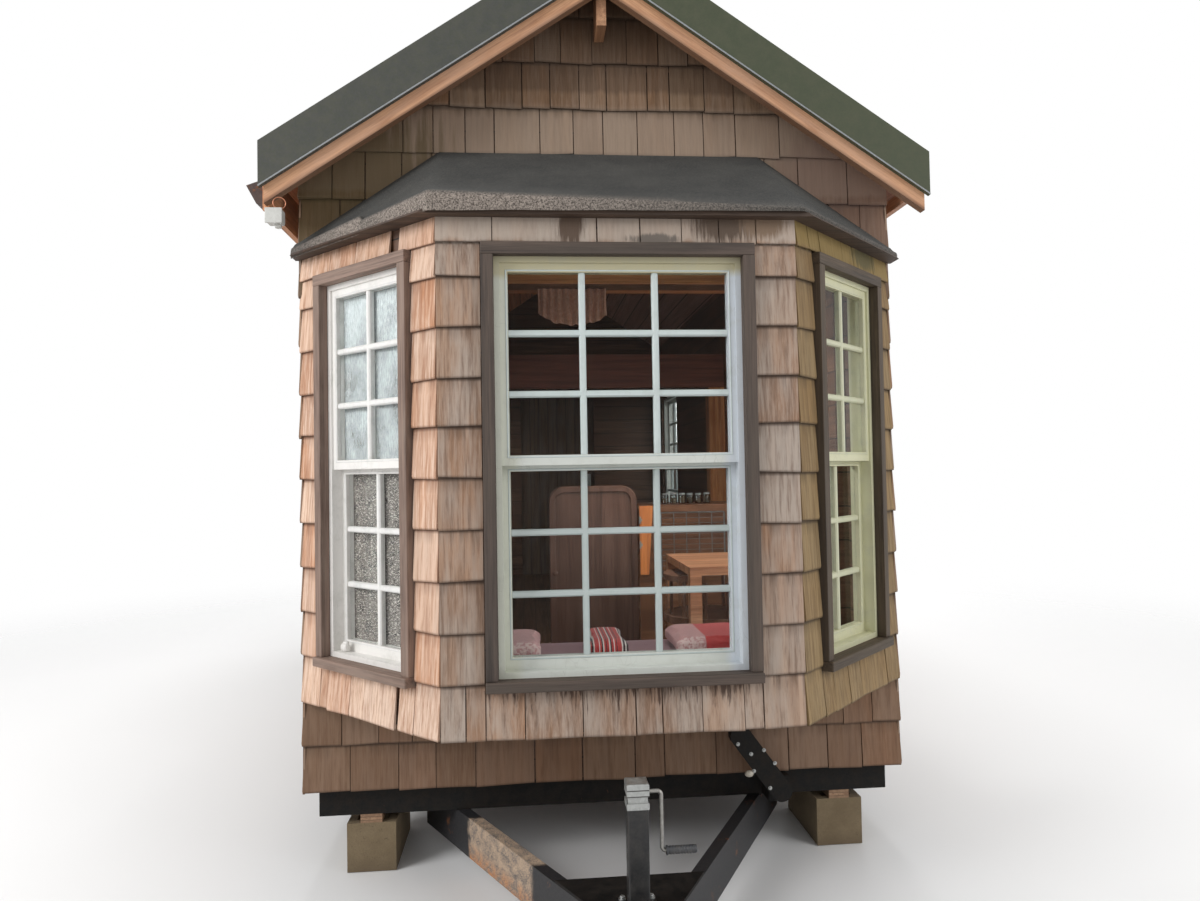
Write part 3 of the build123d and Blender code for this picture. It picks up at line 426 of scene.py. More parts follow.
def cedar(name, pale, warm, deep, grey, weather, streak_tint, streak_share, drips=(), bands=(), stains=()):
    """Shingle wood: each shingle leans to one of its colours, with upright grain, streaks and grey patches.

    Drips are a height that dark streaks run down from and how far they spread sideways. A band is two
    heights, an amount and a colour; a stain is its middle, reach, streak, amount and colour.
    """
    finish = Finish(name)
    tone = finish.add("VertexColor", "Color", layer_name="tone")
    red, green, blue = tone.parts("Color")
    fine, streak, band, blotch, height = wood_figure(finish.place, Stretch=(1, 1, 0.013), Shift=tone)
    finish.color = red.ramp(0.3, 0.7).mix(pale, warm)
    finish.coat(green.ramp(0.55, 1.0, 0.0, 0.75), deep)
    finish.coat(band.ramp(0.35, 0.7, 0.0, 0.55), deep)
    finish.coat(fine.ramp(0.3, 0.7, 0.0, 0.5), pale)
    finish.coat(green.ramp(0.0, 0.45, weather, 0.0), grey)
    finish.coat(blotch.ramp(0.42, 0.62, 0.0, weather * 0.7), grey)
    finish.coat(streak.ramp(0.5, 0.62) * blue.ramp(0.0, 0.8, 0.3 * streak_share, streak_share), streak_tint)
    finish.coat(streak.ramp(0.32, 0.5, 0.65, 0.0), deep)
    up = finish.add("UVMap", "UV").parts()[1]
    # Darker streaks over the top of each exposure, under the next course: tannin stain, with painted shade
    # from the butt above.
    finish.coat(up.ramp(0.70, 1.02, 0.0, 0.6) * band.ramp(0.3, 0.62), darker(deep, 0.45))
    # Painted shade: a dark line along each shingle's butt and under the butt of the course above.
    butt_shade = up.ramp(0.0, 0.045, 0.7, 0.0).reckon("MAXIMUM", up.ramp(0.925, 0.985, 0.0, 0.8))
    finish.coat(butt_shade, darker(deep, 0.35))
    saw_lines = finish.add("Mapping", 0, {"Vector": finish.place, "Rotation": (0.5, 0.5, 0),
                                          "Scale": (5, 5, 170)})
    x, y, z = finish.place.parts()
    for low, high, amount, tint in bands:
        level = z + band * 0.05
        finish.coat(level.ramp(low, low + 0.02) * level.ramp(high - 0.06, high, 1.0, 0.0) * amount, tint)
    for top, spread in drips:
        trickle = finish.place.vector("MULTIPLY", (1, 1, 0.02))
        trickles = trickle.noise(105, 3, 0.6) + trickle.noise(14, 2) * 0.5
        fading = trickles + z.ramp(top - 0.13, top, -0.32, 0.05)
        below = z.ramp(top, top + 0.002, 1.0, 0.0)
        below = below * x.reckon("ABSOLUTE").ramp(spread, spread + 0.01, 1.0, 0.0)
        finish.coat(fading.ramp(0.72, 0.86, 0.0, 0.85) * below, (0.042, 0.018, 0.010))
    for middle, reach, drawn, amount, tint in stains:
        finish.coat(smudge(finish.place, Middle=middle, Reach=reach, Streak=drawn) * amount, tint)
    sawn = saw_lines.noise(1.0, 2) * blue.ramp(0.5, 0.9)
    return finish.done(fine.ramp(0.2, 0.8, 0.68, 0.9), height + sawn, 0.5, 0.0012)


# The bay's three faces have one cedar in copies lit differently: the front is darkened as painted shade, the
# left side is paler and orange as painted sunlight, and the right side is darker and golden as painted shade.
cedar_front = cedar(
    "cedar_bay_front", (0.41, 0.28, 0.20), (0.35, 0.185, 0.10), (0.13, 0.07, 0.042), (0.36, 0.315, 0.275),
    0.8, (0.50, 0.40, 0.33), 0.35, ((0.849, 0.462),), ((2.345, 2.50, 0.6, (0.46, 0.39, 0.33)),), (
        ((-0.160, -2.835, 2.385), (0.050, 0.2, 0.080), (1.6, 1, 0.04), 1.0, (0.10, 0.065, 0.045)),
        ((0.120, -2.835, 2.338), (0.090, 0.2, 0.022), (1.6, 1, 0.3), 1.0, (0.15, 0.125, 0.105)),
        ((0.365, -2.835, 2.395), (0.125, 0.2, 0.075), (2.2, 1, 0.03), 1.0, (0.10, 0.068, 0.048)),
        ((0.500, -2.835, 2.395), (0.090, 0.2, 0.060), (2.2, 1, 0.03), 1.0, (0.20, 0.135, 0.09))))
cedar_left = cedar(
    "cedar_bay_left", (0.72, 0.49, 0.35), (0.52, 0.215, 0.09), (0.27, 0.105, 0.045), (0.64, 0.50, 0.41),
    0.45, (0.84, 0.66, 0.53), 0.5)
cedar_right = cedar(
    "cedar_bay_right", (0.285, 0.185, 0.08), (0.215, 0.125, 0.045), (0.11, 0.062, 0.023),
    (0.225, 0.165, 0.09), 0.45, (0.38, 0.28, 0.15), 0.3, (), ((2.345, 2.50, 0.6, (0.235, 0.165, 0.045)),), (
        ((1.02, -2.42, 2.385), (0.09, 0.2, 0.05), (1.6, 1.6, 0.08), 1.0, (0.10, 0.08, 0.03)),))
# The gable's shingles carry painted shade from the roof: the band high up is dark painted shade, the band
# lower down is paler where less shade falls, and the left stain's dark olive is part hue, part painted shade.
cedar_gable = cedar(
    "cedar_gable", (0.235, 0.148, 0.085), (0.20, 0.10, 0.045), (0.085, 0.045, 0.022), (0.195, 0.145, 0.105),
    0.5, (0.33, 0.24, 0.18), 0.3, (),
    ((2.70, 3.08, 0.55, (0.33, 0.25, 0.19)), (3.12, 3.70, 0.5, (0.065, 0.036, 0.020))), (
        ((-0.95, -2.25, 2.66), (0.36, 0.4, 0.42), (0.5, 0.5, 0.02), 0.7, (0.085, 0.058, 0.018)),
        ((0.98, -2.25, 2.66), (0.30, 0.4, 0.38), (0.5, 0.5, 0.02), 0.5, (0.205, 0.125, 0.10))))
# The skirt under the bay is darkened part way as painted shade.
cedar_skirt = cedar(
    "cedar_skirt", (0.235, 0.14, 0.085), (0.21, 0.105, 0.055), (0.12, 0.062, 0.032), (0.21, 0.14, 0.10),
    0.4, (0.27, 0.18, 0.12), 0.3)
cedar_sides = cedar(
    "cedar_sides", (0.40, 0.255, 0.155), (0.35, 0.18, 0.095), (0.155, 0.082, 0.045), (0.30, 0.25, 0.215),
    0.7, (0.48, 0.36, 0.27), 0.35, (), ((0.30, 0.60, 0.45, (0.17, 0.11, 0.07)),))

bay_lines = [0.690, 0.868, 1.036, 1.206, 1.377, 1.546, 1.714, 1.875, 2.044, 2.212, 2.325]
house_lines = [0.333, 0.514, 0.690, 0.868, 1.036, 1.206, 1.377, 1.546, 1.714, 1.880, 2.070, 2.262, 2.458,
               2.653, 2.846, 3.031, 3.221, 3.410]
bay_reach, bay_side_reach, bay_wall_top, bay_flare = 0.6095, 0.4155, 2.416, 0.006
shingle("bay_front_shingles", cedar_front, bay_face, bay_reach, bay_lines, bay_wall_top,
        [casing_hole(0, window_wide)], 11, {0: [-0.527, -0.335, -0.145, 0.030, 0.120, 0.254, 0.397],
                                            10: [-0.422, -0.073, 0.074, 0.215, 0.342, 0.472]}, bay_flare)
shingle("bay_left_shingles", cedar_left, bay_left_face, bay_side_reach, bay_lines, bay_wall_top,
        [casing_hole(0, side_window_wide), (0.180, 0.198, 0.60, 0.869), (0.176, 0.224, 2.324, 2.45)], 12,
        {0: [-0.234, -0.090, 0.180, 0.285], 10: [-0.197, -0.032]}, bay_flare)
shingle("bay_right_shingles", cedar_right, bay_right_face, bay_side_reach, bay_lines, bay_wall_top,
        [casing_hole(0, side_window_wide)], 13, flare=bay_flare)

# The front wall shows below the bay and above the bay's roof; the gable shingles run up under the roof.
# The side walls are shingled from the skirt to the eaves, round two windows and the wheel arch.
wall_reach, roof_under = 1.2, ridge_top - roof_layers
shingle("front_skirt_shingles", cedar_skirt, front_face, wall_reach, house_lines[:3], 0.72, [], 14, {
    0: [-1.020, -0.834, -0.690, -0.536, -0.304, -0.114, 0.097, 0.216, 0.427, 0.573, 0.725, 0.890, 1.033],
    1: [-1.050, -0.909, -0.780, -0.620, -0.450, -0.300, -0.150, 0.020, 0.170, 0.330, 0.500, 0.660, 0.810,
        0.958, 1.080]})
bay_inside = [(-0.68, 0.68, 2.0, 2.76), (-0.95, 0.95, 2.0, 2.60)]
gable_joints = {
    1: [-1.039, -0.900, -0.745, -0.610, -0.455, -0.330, -0.170, -0.045, 0.105, 0.250, 0.395, 0.520, 0.690,
        0.815, 0.960, 1.083],
    2: [-1.068, -0.940, -0.796, -0.650, -0.490, -0.372, -0.215, -0.070, 0.060, 0.215, 0.360, 0.500, 0.655,
        0.821, 1.031],
    3: [-0.790, -0.672, -0.545, -0.429, -0.245, -0.111, 0.011, 0.151, 0.304, 0.425, 0.559, 0.745],
    4: [-0.606, -0.463, -0.315, -0.202, -0.084, 0.027, 0.195, 0.287, 0.432, 0.554],
    5: [-0.392, -0.263, -0.157, -0.029, 0.113, 0.242, 0.367]}
gable = shingle("front_gable_shingles", cedar_gable, front_face, wall_reach, house_lines[11:], roof_under,
                bay_inside, 15, gable_joints)
door_reach, door_top = door_half + door_case + casing_clear, door_high + door_case + casing_clear
rear = shingle("rear_wall_shingles", cedar_sides, rear_face, wall_reach, house_lines, roof_under,
               [(-door_reach, door_reach, door_low - 0.006, door_top)], 16)
to_trim = [(wall, side) for wall in (gable, rear) for side in (-1, 1)]
arch_middle, arch_reach, arch_top = 1.055, 0.742, 0.672
for name, face, side, seed in (("left_wall_shingles", left_face, -1, 17),
                               ("right_wall_shingles", right_face, 1, 18)):
    holes = [casing_hole(side * (y - middle_y), window_wide) for y in (front_window_y, rear_window_y)]
    arch = sorted(side * (arch_middle + end * arch_reach - middle_y) for end in (-1, 1))
    wall = shingle(name, cedar_sides, face, (wall_rear - wall_front) / 2 + 0.014, house_lines[:14],
                   roof_under - half_width * roof_slope, [*holes, (*arch, 0.0, arch_top)], seed)
    to_trim.append((wall, side))
for wall, side in to_trim:
    cut_above(wall, (0, 0, roof_under - 0.002), (side * roof_slope, 0, 1))
bpy.data.objects.remove(shingle_pattern, do_unlink=True)

# The bay's roof is boarded and covered with black roll roofing. Its lower edge is folded over the boards;
# the fold stands up from the left corner, where the worn granules show brown, and lies flat on the right.
felt_black = Finish("roll_roofing_felt")
fold = felt_black.add("VertexColor", "Color", layer_name="fold")
granules, patches = felt_black.place.noise(170, 5, 0.85), felt_black.place.noise(5, 5, 0.65)
pale_grains = felt_black.place.noise(240, 2, 0.6).ramp(0.655, 0.70)
felt_black.color = patches.ramp(0.35, 0.7).mix((0.014, 0.015, 0.015), (0.040, 0.040, 0.037))
felt_black.coat(granules.ramp(0.46, 0.58, 0.0, 0.6), (0.075, 0.074, 0.066))
felt_black.coat(fold, granules.ramp(0.44, 0.56).mix((0.060, 0.048, 0.040), (0.33, 0.28, 0.24)))
felt_black.coat(pale_grains * patches.ramp(0.4, 0.7, 0.1, 0.7), (0.30, 0.28, 0.24))

felt_columns, felt_rows, felt_lift = 46, 12, 0.006
eave_half, eave_y, eave_z = 0.6255, -2.879, 2.435
top_half, top_z, roof_side_reach = 0.648, 2.846, 1.214


def sheet_mesh(name, lines):
    """A sheet through lines of points, each line beside the last."""
    count = len(lines[0])
    starts = [line * count + i for line in range(len(lines) - 1) for i in range(count - 1)]
    made = bpy.data.meshes.new(name)
    made.from_pydata([spot for line in lines for spot in line], [],
                     [(i, i + 1, i + count + 1, i + count) for i in starts])
    return made


def felt_panel(low_ends, top_ends, fold_ends, hem_ends, seed, torn=0.0):
    """One slope's sheet, from its top down over the fold to the hem. A torn fold rises past its tear."""
    chance = random.Random(seed)
    ripples = [(chance.uniform(2, 9), chance.uniform(0, 6.3), chance.uniform(0.3, 1)) for _ in range(5)]
    masks, columns = [], []
    for i in range(felt_columns + 1):
        t = i / felt_columns
        low, top = (Vector(ends[0]).lerp(Vector(ends[1]), t) for ends in (low_ends, top_ends))
        ripple = sum(math.sin(a * t * 3 + b) * c for a, b, c in ripples) / 5
        share = t
        if torn:
            share = 0.35 + 0.65 * (t - torn) / (1 - torn) if t > torn else 0.85 * t / torn
        rise = fold_ends[0] + (fold_ends[1] - fold_ends[0]) * share
        outward = Vector((low.x - top.x, low.y - top.y, 0)).normalized()
        column = []
        for j in range(felt_rows + 1):
            s = j / felt_rows
            swell = rise * max(0.0, (s - 0.62) / 0.38) ** 1.6
            lift = felt_lift + swell + ripple * 0.003 * math.sin(s * math.pi)
            column.append(top.lerp(low, s) + Vector((0, 0, lift)))
            masks.append(0.0 if s < 0.98 else 0.35 if rise > 0.012 else 0.1)
        crest = low + Vector((0, 0, felt_lift + rise))
        hem = low - Vector((0, 0, hem_ends[0] + (hem_ends[1] - hem_ends[0]) * t))
        for share in (0.18, 0.55, 1.0):
            lip = crest.lerp(hem, share) + outward * (0.010 * math.sin(share * 2.4) + 0.004)
            column.append(lip + Vector((0, 0, ripple * 0.004 * share)))
            masks.append(min(1.0, 0.25 + rise * 26))
        columns.append(column)
    made = sheet_mesh("felt_panel", columns)
    layer = made.color_attributes.new("fold", "FLOAT_COLOR", "POINT")
    layer.data.foreach_set("color", np.repeat(np.array(masks, dtype=np.float32), 4))
    return new_object("felt", made)


def modify(piece, kind, **settings):
    """Shape a piece by a modifier."""
    take(piece)
    modifier = piece.modifiers.new(kind, kind)
    for key, value in settings.items():
        setattr(modifier, key, value)
    bpy.ops.object.modifier_apply(modifier=kind)
    return piece


def joined(pieces, name, material, slot, body="house"):
    """Join pieces into one object."""
    take(*pieces)
    if len(pieces) > 1:
        bpy.ops.object.join()
    return settle(pieces[0], name, material, slot, body)


corner_left, corner_right = (-eave_half, eave_y, eave_z), (eave_half, eave_y, eave_z)
end_y = eave_y + roof_side_reach - eave_half
end_left, end_right = (-roof_side_reach, end_y, eave_z), (roof_side_reach, end_y, eave_z)
top_left, top_right = (-top_half, wall_front, top_z), (top_half, wall_front, top_z)
roof_half_at_wall = eave_half + wall_front - eave_y
side_top_z = top_z - (top_z - eave_z) * (roof_side_reach - top_half) / (roof_half_at_wall - top_half)
side_left, side_right = (-roof_side_reach, wall_front, side_top_z), (roof_side_reach, wall_front, side_top_z)
bay_felt = joined([
    felt_panel((corner_left, corner_right), (top_left, top_right), (0.040, -0.002), (0.020, 0.010), 3),
    felt_panel((end_left, corner_left), (side_left, top_left), (0.004, 0.040), (0.030, 0.020), 4, 0.55),
    felt_panel((corner_right, end_right), (top_right, side_right), (-0.002, 0.002), (0.010, 0.014), 5),
], "bay_roof_felt", felt_black.done(0.88, granules, 0.7, 0.0015), "roll_roofing")
with all_of(bay_felt):
    bpy.ops.mesh.remove_doubles(threshold=0.0015)
    bpy.ops.mesh.normals_make_consistent(inside=False)
modify(bay_felt, "SOLIDIFY", thickness=0.004, offset=1)
bpy.ops.object.shade_smooth_by_angle(angle=math.radians(40))


# Windows: painted wood sashes, two to each opening, with glazing bars that part the glass into small panes.
# The bay's side windows have two panes across, the others three. Each lower sash stands behind the upper.
def bevel(piece, width, segments=2):
    """Soften a piece's edges."""
    return modify(piece, "BEVEL", width=width, segments=segments, limit_method="ANGLE")


def stick(middle, size, turn=0.0, soft=0.002, segments=2):
    """A bar: a block at its place, turned about the upright axis, its edges softened."""
    bar = primitive(bpy.ops.mesh.primitive_cube_add, size=1, location=middle, rotation=(0, 0, turn),
                    scale=size)
    return bevel(settle(bar), soft, segments)


@effect(Vector=(0, 0, 0), Scale=30.0, Amount=0.5)
def paint_cracks(place, scale, amount):
    """Hairline cracks in patches, and grime."""
    stretched = place.vector("MULTIPLY", (1, 1, 0.35))
    cells = stretched.into("TexVoronoi", {"Vector": stretched, "Scale": scale}, "Distance",
                           feature="DISTANCE_TO_EDGE")
    crack = cells.ramp(0.0, 0.02, 1.0, 0.0) * place.noise(6, 3).ramp(0.5, 0.62) * amount
    return {"Crack": crack, "Grime": place.noise(14, 5, 0.7).ramp(0.5, 0.75)}


def oil_paint(name, tint, grime_tint, cracks, zones):
    """Old gloss paint, with fine cracks and grime. A zone is its lowest and highest corner and its tint."""
    finish = Finish(name, tint)
    crack, grime = paint_cracks(finish.place, Amount=cracks)
    spot = finish.place.parts()
    for low, high, other in zones:
        edges = []
        for axis in range(3):
            edges.append(spot[axis].ramp(low[axis] - 0.03, low[axis]))
            edges.append(spot[axis].ramp(high[axis], high[axis] + 0.03, 1.0, 0.0))
        finish.coat(math.prod(edges), other)
    finish.coat(grime * 0.35, grime_tint)
    finish.coat(crack, (0.16, 0.15, 0.12))
    clean = crack.into("Math", {0: 1.0, 1: crack}, operation="SUBTRACT")
    return finish.done(grime.ramp(0, 1, 0.38, 0.6), clean, 0.35, 0.0006)


def dress(material, *names):
    """Give CAD nodes their finish."""
    for name in names:
        for place in nodes[name].material_slots:
            place.material = material


# One cream paint, copied lit differently: its base is darkened as painted shade, and the zones are painted
# light: the bay's left window paler as painted sunlight, and the head's yellow, the stiles' tints and the
# right window's yellow as painted reflections.
left_window = ((-1.25, -2.85, 0.8), (-0.6, -2.24, 2.35))
right_window = ((0.6, -2.85, 0.8), (1.25, -2.24, 2.35))
cream_paint = oil_paint("cream_paint", (0.57, 0.59, 0.55), (0.40, 0.40, 0.35), 0.25, (
    ((-0.5, -2.9, 2.222), (0.5, -2.7, 2.3), (0.47, 0.43, 0.28)),
    ((0.375, -2.9, 0.8), (0.46, -2.7, 2.215), (0.56, 0.60, 0.64)),
    ((-0.5, -2.9, 0.8), (-0.36, -2.7, 2.195), (0.55, 0.56, 0.48)),
    (*left_window, (0.80, 0.78, 0.75)), (*right_window, (0.58, 0.57, 0.38))))
# The bars' darker base is painted shade; their paler head and the window tints are painted light and
# reflection, as on the frames.
bar_paint = oil_paint("bar_paint", (0.42, 0.47, 0.46), (0.33, 0.36, 0.34), 0.15, (
    ((-0.5, -2.9, 1.6), (0.5, -2.7, 2.3), (0.52, 0.58, 0.57)),
    (*left_window, (0.78, 0.77, 0.75)), (*right_window, (0.55, 0.55, 0.39))))
dress(cream_paint, "window_frames", "window_sashes")

clear_glass = Finish("window_glass")
film = clear_glass.place.noise(7, 5, 0.7)
clear_glass.color = film.ramp(0.4, 0.7).mix((0.93, 0.95, 0.94), (0.84, 0.87, 0.86))
shadow_ray = clear_glass.add("LightPath", "Is Shadow Ray")
lets_light_by = shadow_ray.into("Math", {0: shadow_ray, 1: -0.85, 2: 1.0}, operation="MULTIPLY_ADD")
dress(clear_glass.done(film.ramp(0.45, 0.75, 0.0, 0.04), Alpha=lets_light_by, Transmission_Weight=1.0,
                       IOR=1.13),
      "window_glass")

jamb, stile, top_rail, bottom_rail, meeting_rail = 0.020, 0.026, 0.031, 0.040, 0.034
upper_back, lower_back, sash_thick = 0.008, 0.044, 0.034
glass_low, lower_glass_top = window_low + jamb + bottom_rail, window_low + jamb + bottom_rail + 0.622
upper_glass_low, glass_high = lower_glass_top + meeting_rail * 2 - 0.015, window_high - jamb - top_rail
bar_wide, bar_deep, panes_high, bead_reach = 0.022, 0.027, 3, 0.006
windows = [(bay_face, window_wide, 3), (bay_left_face, side_window_wide, 2),
           (bay_right_face, side_window_wide, 2)]
windows += [(Face(side * half_width, y, side * 90), window_wide, 3) for side in (-1, 1)
            for y in (front_window_y, rear_window_y)]
bars = []
for face, width, across in windows:
    pane = width - 2 * jamb - 2 * stile
    for back, low, high in ((upper_back, upper_glass_low, glass_high),
                            (lower_back, glass_low, lower_glass_top)):
        out, middle, tall = -(back + sash_thick / 2), (low + high) / 2, high - low
        rails = [(-pane / 2 + pane * i / across, out, middle, (bar_wide, bar_deep, tall + 0.008), 0.005)
                 for i in range(1, across)]
        rails += [(0, out, low + tall * i / panes_high, (pane + 0.008, bar_deep - 0.001, bar_wide), 0.005)
                  for i in range(1, panes_high)]
        upright, level = (0.005, 0.004, tall + 0.017), (pane + 0.007, 0.004, 0.005)
        for side in (-1, 1):
            rails += [(side * (pane / 2 + bead_reach), -back, middle, upright, 0.0015),
                      (0, -back, middle + side * (tall / 2 + bead_reach), level, 0.0015)]
        bars += [stick(face.point(*place), size, face.angle, soft, 1) for *place, size, soft in rails]
joined(bars, "glazing_bars", bar_paint, "window_paint")

# Window casings: weathered boards nailed round each frame, the head laid across the side boards' tops, and a
# thicker sill below. Every board has its own length of grain.
board_chance = random.Random(21)


def board(start, end, wide, thick, facing, soft=0.0025, segments=2):
    """A board between two points, its broad side facing a direction, with its own grain coordinates."""
    start, end, facing = Vector(start), Vector(end), Vector(facing).normalized()
    along = (end - start).normalized()
    across = facing.cross(along).normalized()
    facing = along.cross(across)
    size = ((end - start).length, wide, thick)
    piece = bevel(settle(primitive(bpy.ops.mesh.primitive_cube_add, size=1, scale=size)), soft, segments)
    spots = np.empty(len(piece.data.vertices) * 3, dtype=np.float32)
    piece.data.vertices.foreach_get("co", spots)
    spots = spots.reshape(-1, 3) + [board_chance.uniform(0, 9) for _ in range(3)]
    grain = piece.data.attributes.new("grain", "FLOAT_VECTOR", "POINT")
    grain.data.foreach_set("vector", spots.astype(np.float32).ravel())
    turned_to = Matrix((along, across, facing)).transposed().to_4x4()
    piece.matrix_world = Matrix.Translation((start + end) / 2) @ turned_to
    return piece


@effect(Across=0.0, Width=0.12, Gap=0.015)
def plank_lines(across, width, gap):
    """The gaps between boards of one width, and a tone for each board."""
    count = across.reckon("DIVIDE", width)
    number = count.reckon("FLOOR")
    line = (count - number).reckon("PINGPONG", 0.5).reckon("LESS_THAN", gap)
    return {"Line": line, "Tone": number.into("TexWhiteNoise", {"W": number}, "Value", noise_dimensions="1D")}


slope_cos, slope_sin = math.cos(math.atan(roof_slope)), math.sin(math.atan(roof_slope))


@effect(Vector=(0, 0, 0))
def down_slope(place):
    """Coordinates that run down the roof's slope, along the eave and out of the roof."""
    x, y, z = place.parts()
    away = x.reckon("ABSOLUTE")
    along, above = away * slope_cos - z * slope_sin, away * slope_sin + z * slope_cos
    return {"Vector": place.into("CombineXYZ", {"X": along, "Y": y, "Z": above})}


def timber(name, pale, warm, deep, grain, source="Object", planks=None, weather=0.0, grey=None,
           gloss=(0.55, 0.8), relief=0.4, shaded_edge=None):
    """Wood with its figure along the grain, on the object's coordinates, a board's own or the roof slope's.

    Planks are an axis, a width and the gap's share. A shaded edge is two heights and a colour: painted shade
    that darkens the wood below the upper height.
    """
    finish = Finish(name)
    if source == "grain":
        place = finish.add("Attribute", "Vector", attribute_name="grain")
    else:
        place = down_slope(finish.place) if source == "slope" else finish.place
    spot = place.parts()
    shift = (0, 0, 0)
    if planks:
        axis, width, gap = planks
        line, plank = plank_lines(spot[axis], Width=width, Gap=gap)
        shift = plank.into("CombineXYZ", {0: plank, 1: plank, 2: plank})
    fine, streak, band, blotch, height = wood_figure(place, Stretch=grain, Shift=shift)
    finish.color = blotch.ramp(0.35, 0.65).mix(pale, warm)
    finish.coat(band.ramp(0.42, 0.68, 0.0, 0.75), deep)
    finish.coat(fine.ramp(0.42, 0.7, 0.0, 0.55), deep)
    finish.coat(streak.ramp(0.34, 0.48, 0.6, 0.0), deep)
    if planks:
        finish.coat(plank.ramp(0.2, 1.0, 0.0, 0.55), darker(warm, 0.6))
        finish.coat(line, darker(deep, 0.2))
        height = height - line * 3.0
    if weather:
        finish.coat(blotch.ramp(0.4, 0.62, 0.0, weather), grey)
    if shaded_edge:
        low, high, tint = shaded_edge
        finish.coat(spot[2].ramp(low, high, 0.75, 0.0), tint)
    return finish.done(fine.ramp(0.2, 0.8, *gloss), height, relief)


grain_x, grain_y, grain_z, board_grain = (0.04, 1, 1), (1, 0.04, 1), (1, 1, 0.04), (0.03, 1, 1)
# One casing wood in three copies lit differently: the front darkened as painted shade, the bay's left window
# paler and pinker as painted sunlight, the right window darker as painted shade.
casing_wood = timber("casing_wood", (0.105, 0.074, 0.058), (0.060, 0.038, 0.028), (0.014, 0.009, 0.007),
                     board_grain, "grain", weather=0.4, grey=(0.10, 0.078, 0.06), relief=0.9)
casing_left = timber("casing_wood_left", (0.27, 0.185, 0.145), (0.20, 0.11, 0.078), (0.050, 0.028, 0.020),
                     board_grain, "grain", weather=0.5, grey=(0.33, 0.25, 0.20), relief=0.9)
casing_right = timber("casing_wood_right", (0.085, 0.056, 0.032), (0.055, 0.033, 0.018),
                      (0.016, 0.010, 0.006), board_grain, "grain", weather=0.4, grey=(0.09, 0.066, 0.040),
                      relief=0.9)
casing_out, sill_out = 0.038, 0.052
casings = []
for number, (face, width, across) in enumerate(windows):
    outer, side = width / 2 + casing_wide, width / 2 + casing_wide / 2
    head_z, sill_z = window_high + casing_wide / 2, window_low - sill_high / 2
    for start, end, wide, out, thick, soft in (
        ((-outer, head_z), (outer, head_z), casing_wide, casing_out, casing_out, 0.0025),
        ((-outer, sill_z), (outer, sill_z), sill_high, sill_out, sill_out, 0.004),
        ((-side, window_low), (-side, window_high), casing_wide, casing_out, casing_out - 0.001, 0.0025),
        ((side, window_low), (side, window_high), casing_wide, casing_out, casing_out - 0.001, 0.0025),
    ):
        ends = (face.point(along, out / 2, z) for along, z in (start, end))
        casings.append(board(*ends, wide, thick, face.out, soft))
        casings[-1].data.materials.append({1: casing_left, 2: casing_right}.get(number, casing_wood))
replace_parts(joined(casings, "casing_boards", None, "casing_wood"), "window_casings")


# The bay's left window has a pale sun film behind its upper panes and a speckled insect screen behind the
# lower ones, both cut to the sash, and a small white catch on the lower rail.
def screen(name, low, high, back, material):
    """A thin sheet behind the panes of one sash."""
    wide = 2 * (side_window_wide / 2 - jamb - stile) - 0.002
    middle = bay_left_face.point(0, -back - sash_thick - 0.0006, (low + high) / 2)
    sheet = stick(middle, (wide, 0.0012, high - low - 0.002), bay_left_face.angle, 0.0003, 1)
    settle(sheet, name, material, "glass")


sun_film = Finish("sun_film")
cloudy = sun_film.place.noise(7, 4, 0.6)
streaky = sun_film.place.vector("MULTIPLY", (1, 1, 0.16)).noise(250, 4, 0.7)
sun_film.color = streaky.ramp(0.35, 0.65).mix((0.42, 0.46, 0.48), (0.66, 0.69, 0.70))
# Denser and paler towards the top: painted reflection of sunlight on the panes.
cover = cloudy.ramp(0.35, 0.65, 0.35, 0.8) + sun_film.place.parts()[2].ramp(1.9, 2.2, 0.0, 0.3)
cover = cover.reckon("MULTIPLY", streaky.ramp(0.3, 0.6, 0.6, 1.0), use_clamp=True)
screen("left_sun_film", upper_glass_low, glass_high, upper_back,
       sun_film.done(0.6, streaky, 0.3, 0.0006, Alpha=cover))

mesh_screen = Finish("insect_screen")
flecks = mesh_screen.place.vector("MULTIPLY", (0.35, 0.35, 1)).noise(260, 2, 0.6).ramp(0.52, 0.62, 0.0, 0.8)
dusty = mesh_screen.place.noise(30, 5, 0.7)
mesh_screen.color = dusty.ramp(0.35, 0.65).mix((0.14, 0.12, 0.11), (0.20, 0.175, 0.16))
mesh_screen.coat(flecks, (0.62, 0.58, 0.53))
cover = flecks.reckon("MAXIMUM", dusty.ramp(0.3, 0.7, 0.55, 0.8))
screen("left_insect_screen", glass_low, lower_glass_top, lower_back,
       mesh_screen.done(0.7, dusty, 0.3, 0.0006, Alpha=cover))

catch_place = bay_left_face.point(-0.172, -0.018, 0.921)
catch_body = stick(catch_place, (0.036, 0.022, 0.026), bay_left_face.angle, 0.008, 3)
catch_lever = stick(catch_place + Vector((0.004, -0.004, 0.016)), (0.022, 0.016, 0.014),
                    bay_left_face.angle + 0.5, 0.005, 3)
joined([catch_body, catch_lever], "window_catch", cream_paint, "window_paint")


# The main roof is covered with painted steel sheets. A deep folded trim runs down each rake, with a thin hem
# along its lower edge, painted pale as a highlight of the sky; a folded cap covers the ridge.
@effect(Vector=(0, 0, 0), Amount=0.3)
def rust_marks(place, amount):
    """Rust in patches, dust, and fine specks."""
    fine = place.noise(120, 4, 0.65)
    raised = place.noise(11, 6, 0.72) + amount * 0.4 + fine * 0.18
    return {"Rust": raised.ramp(0.82, 0.90), "Dust": place.noise(23, 5, 0.7).ramp(0.4, 0.75), "Fine": fine}


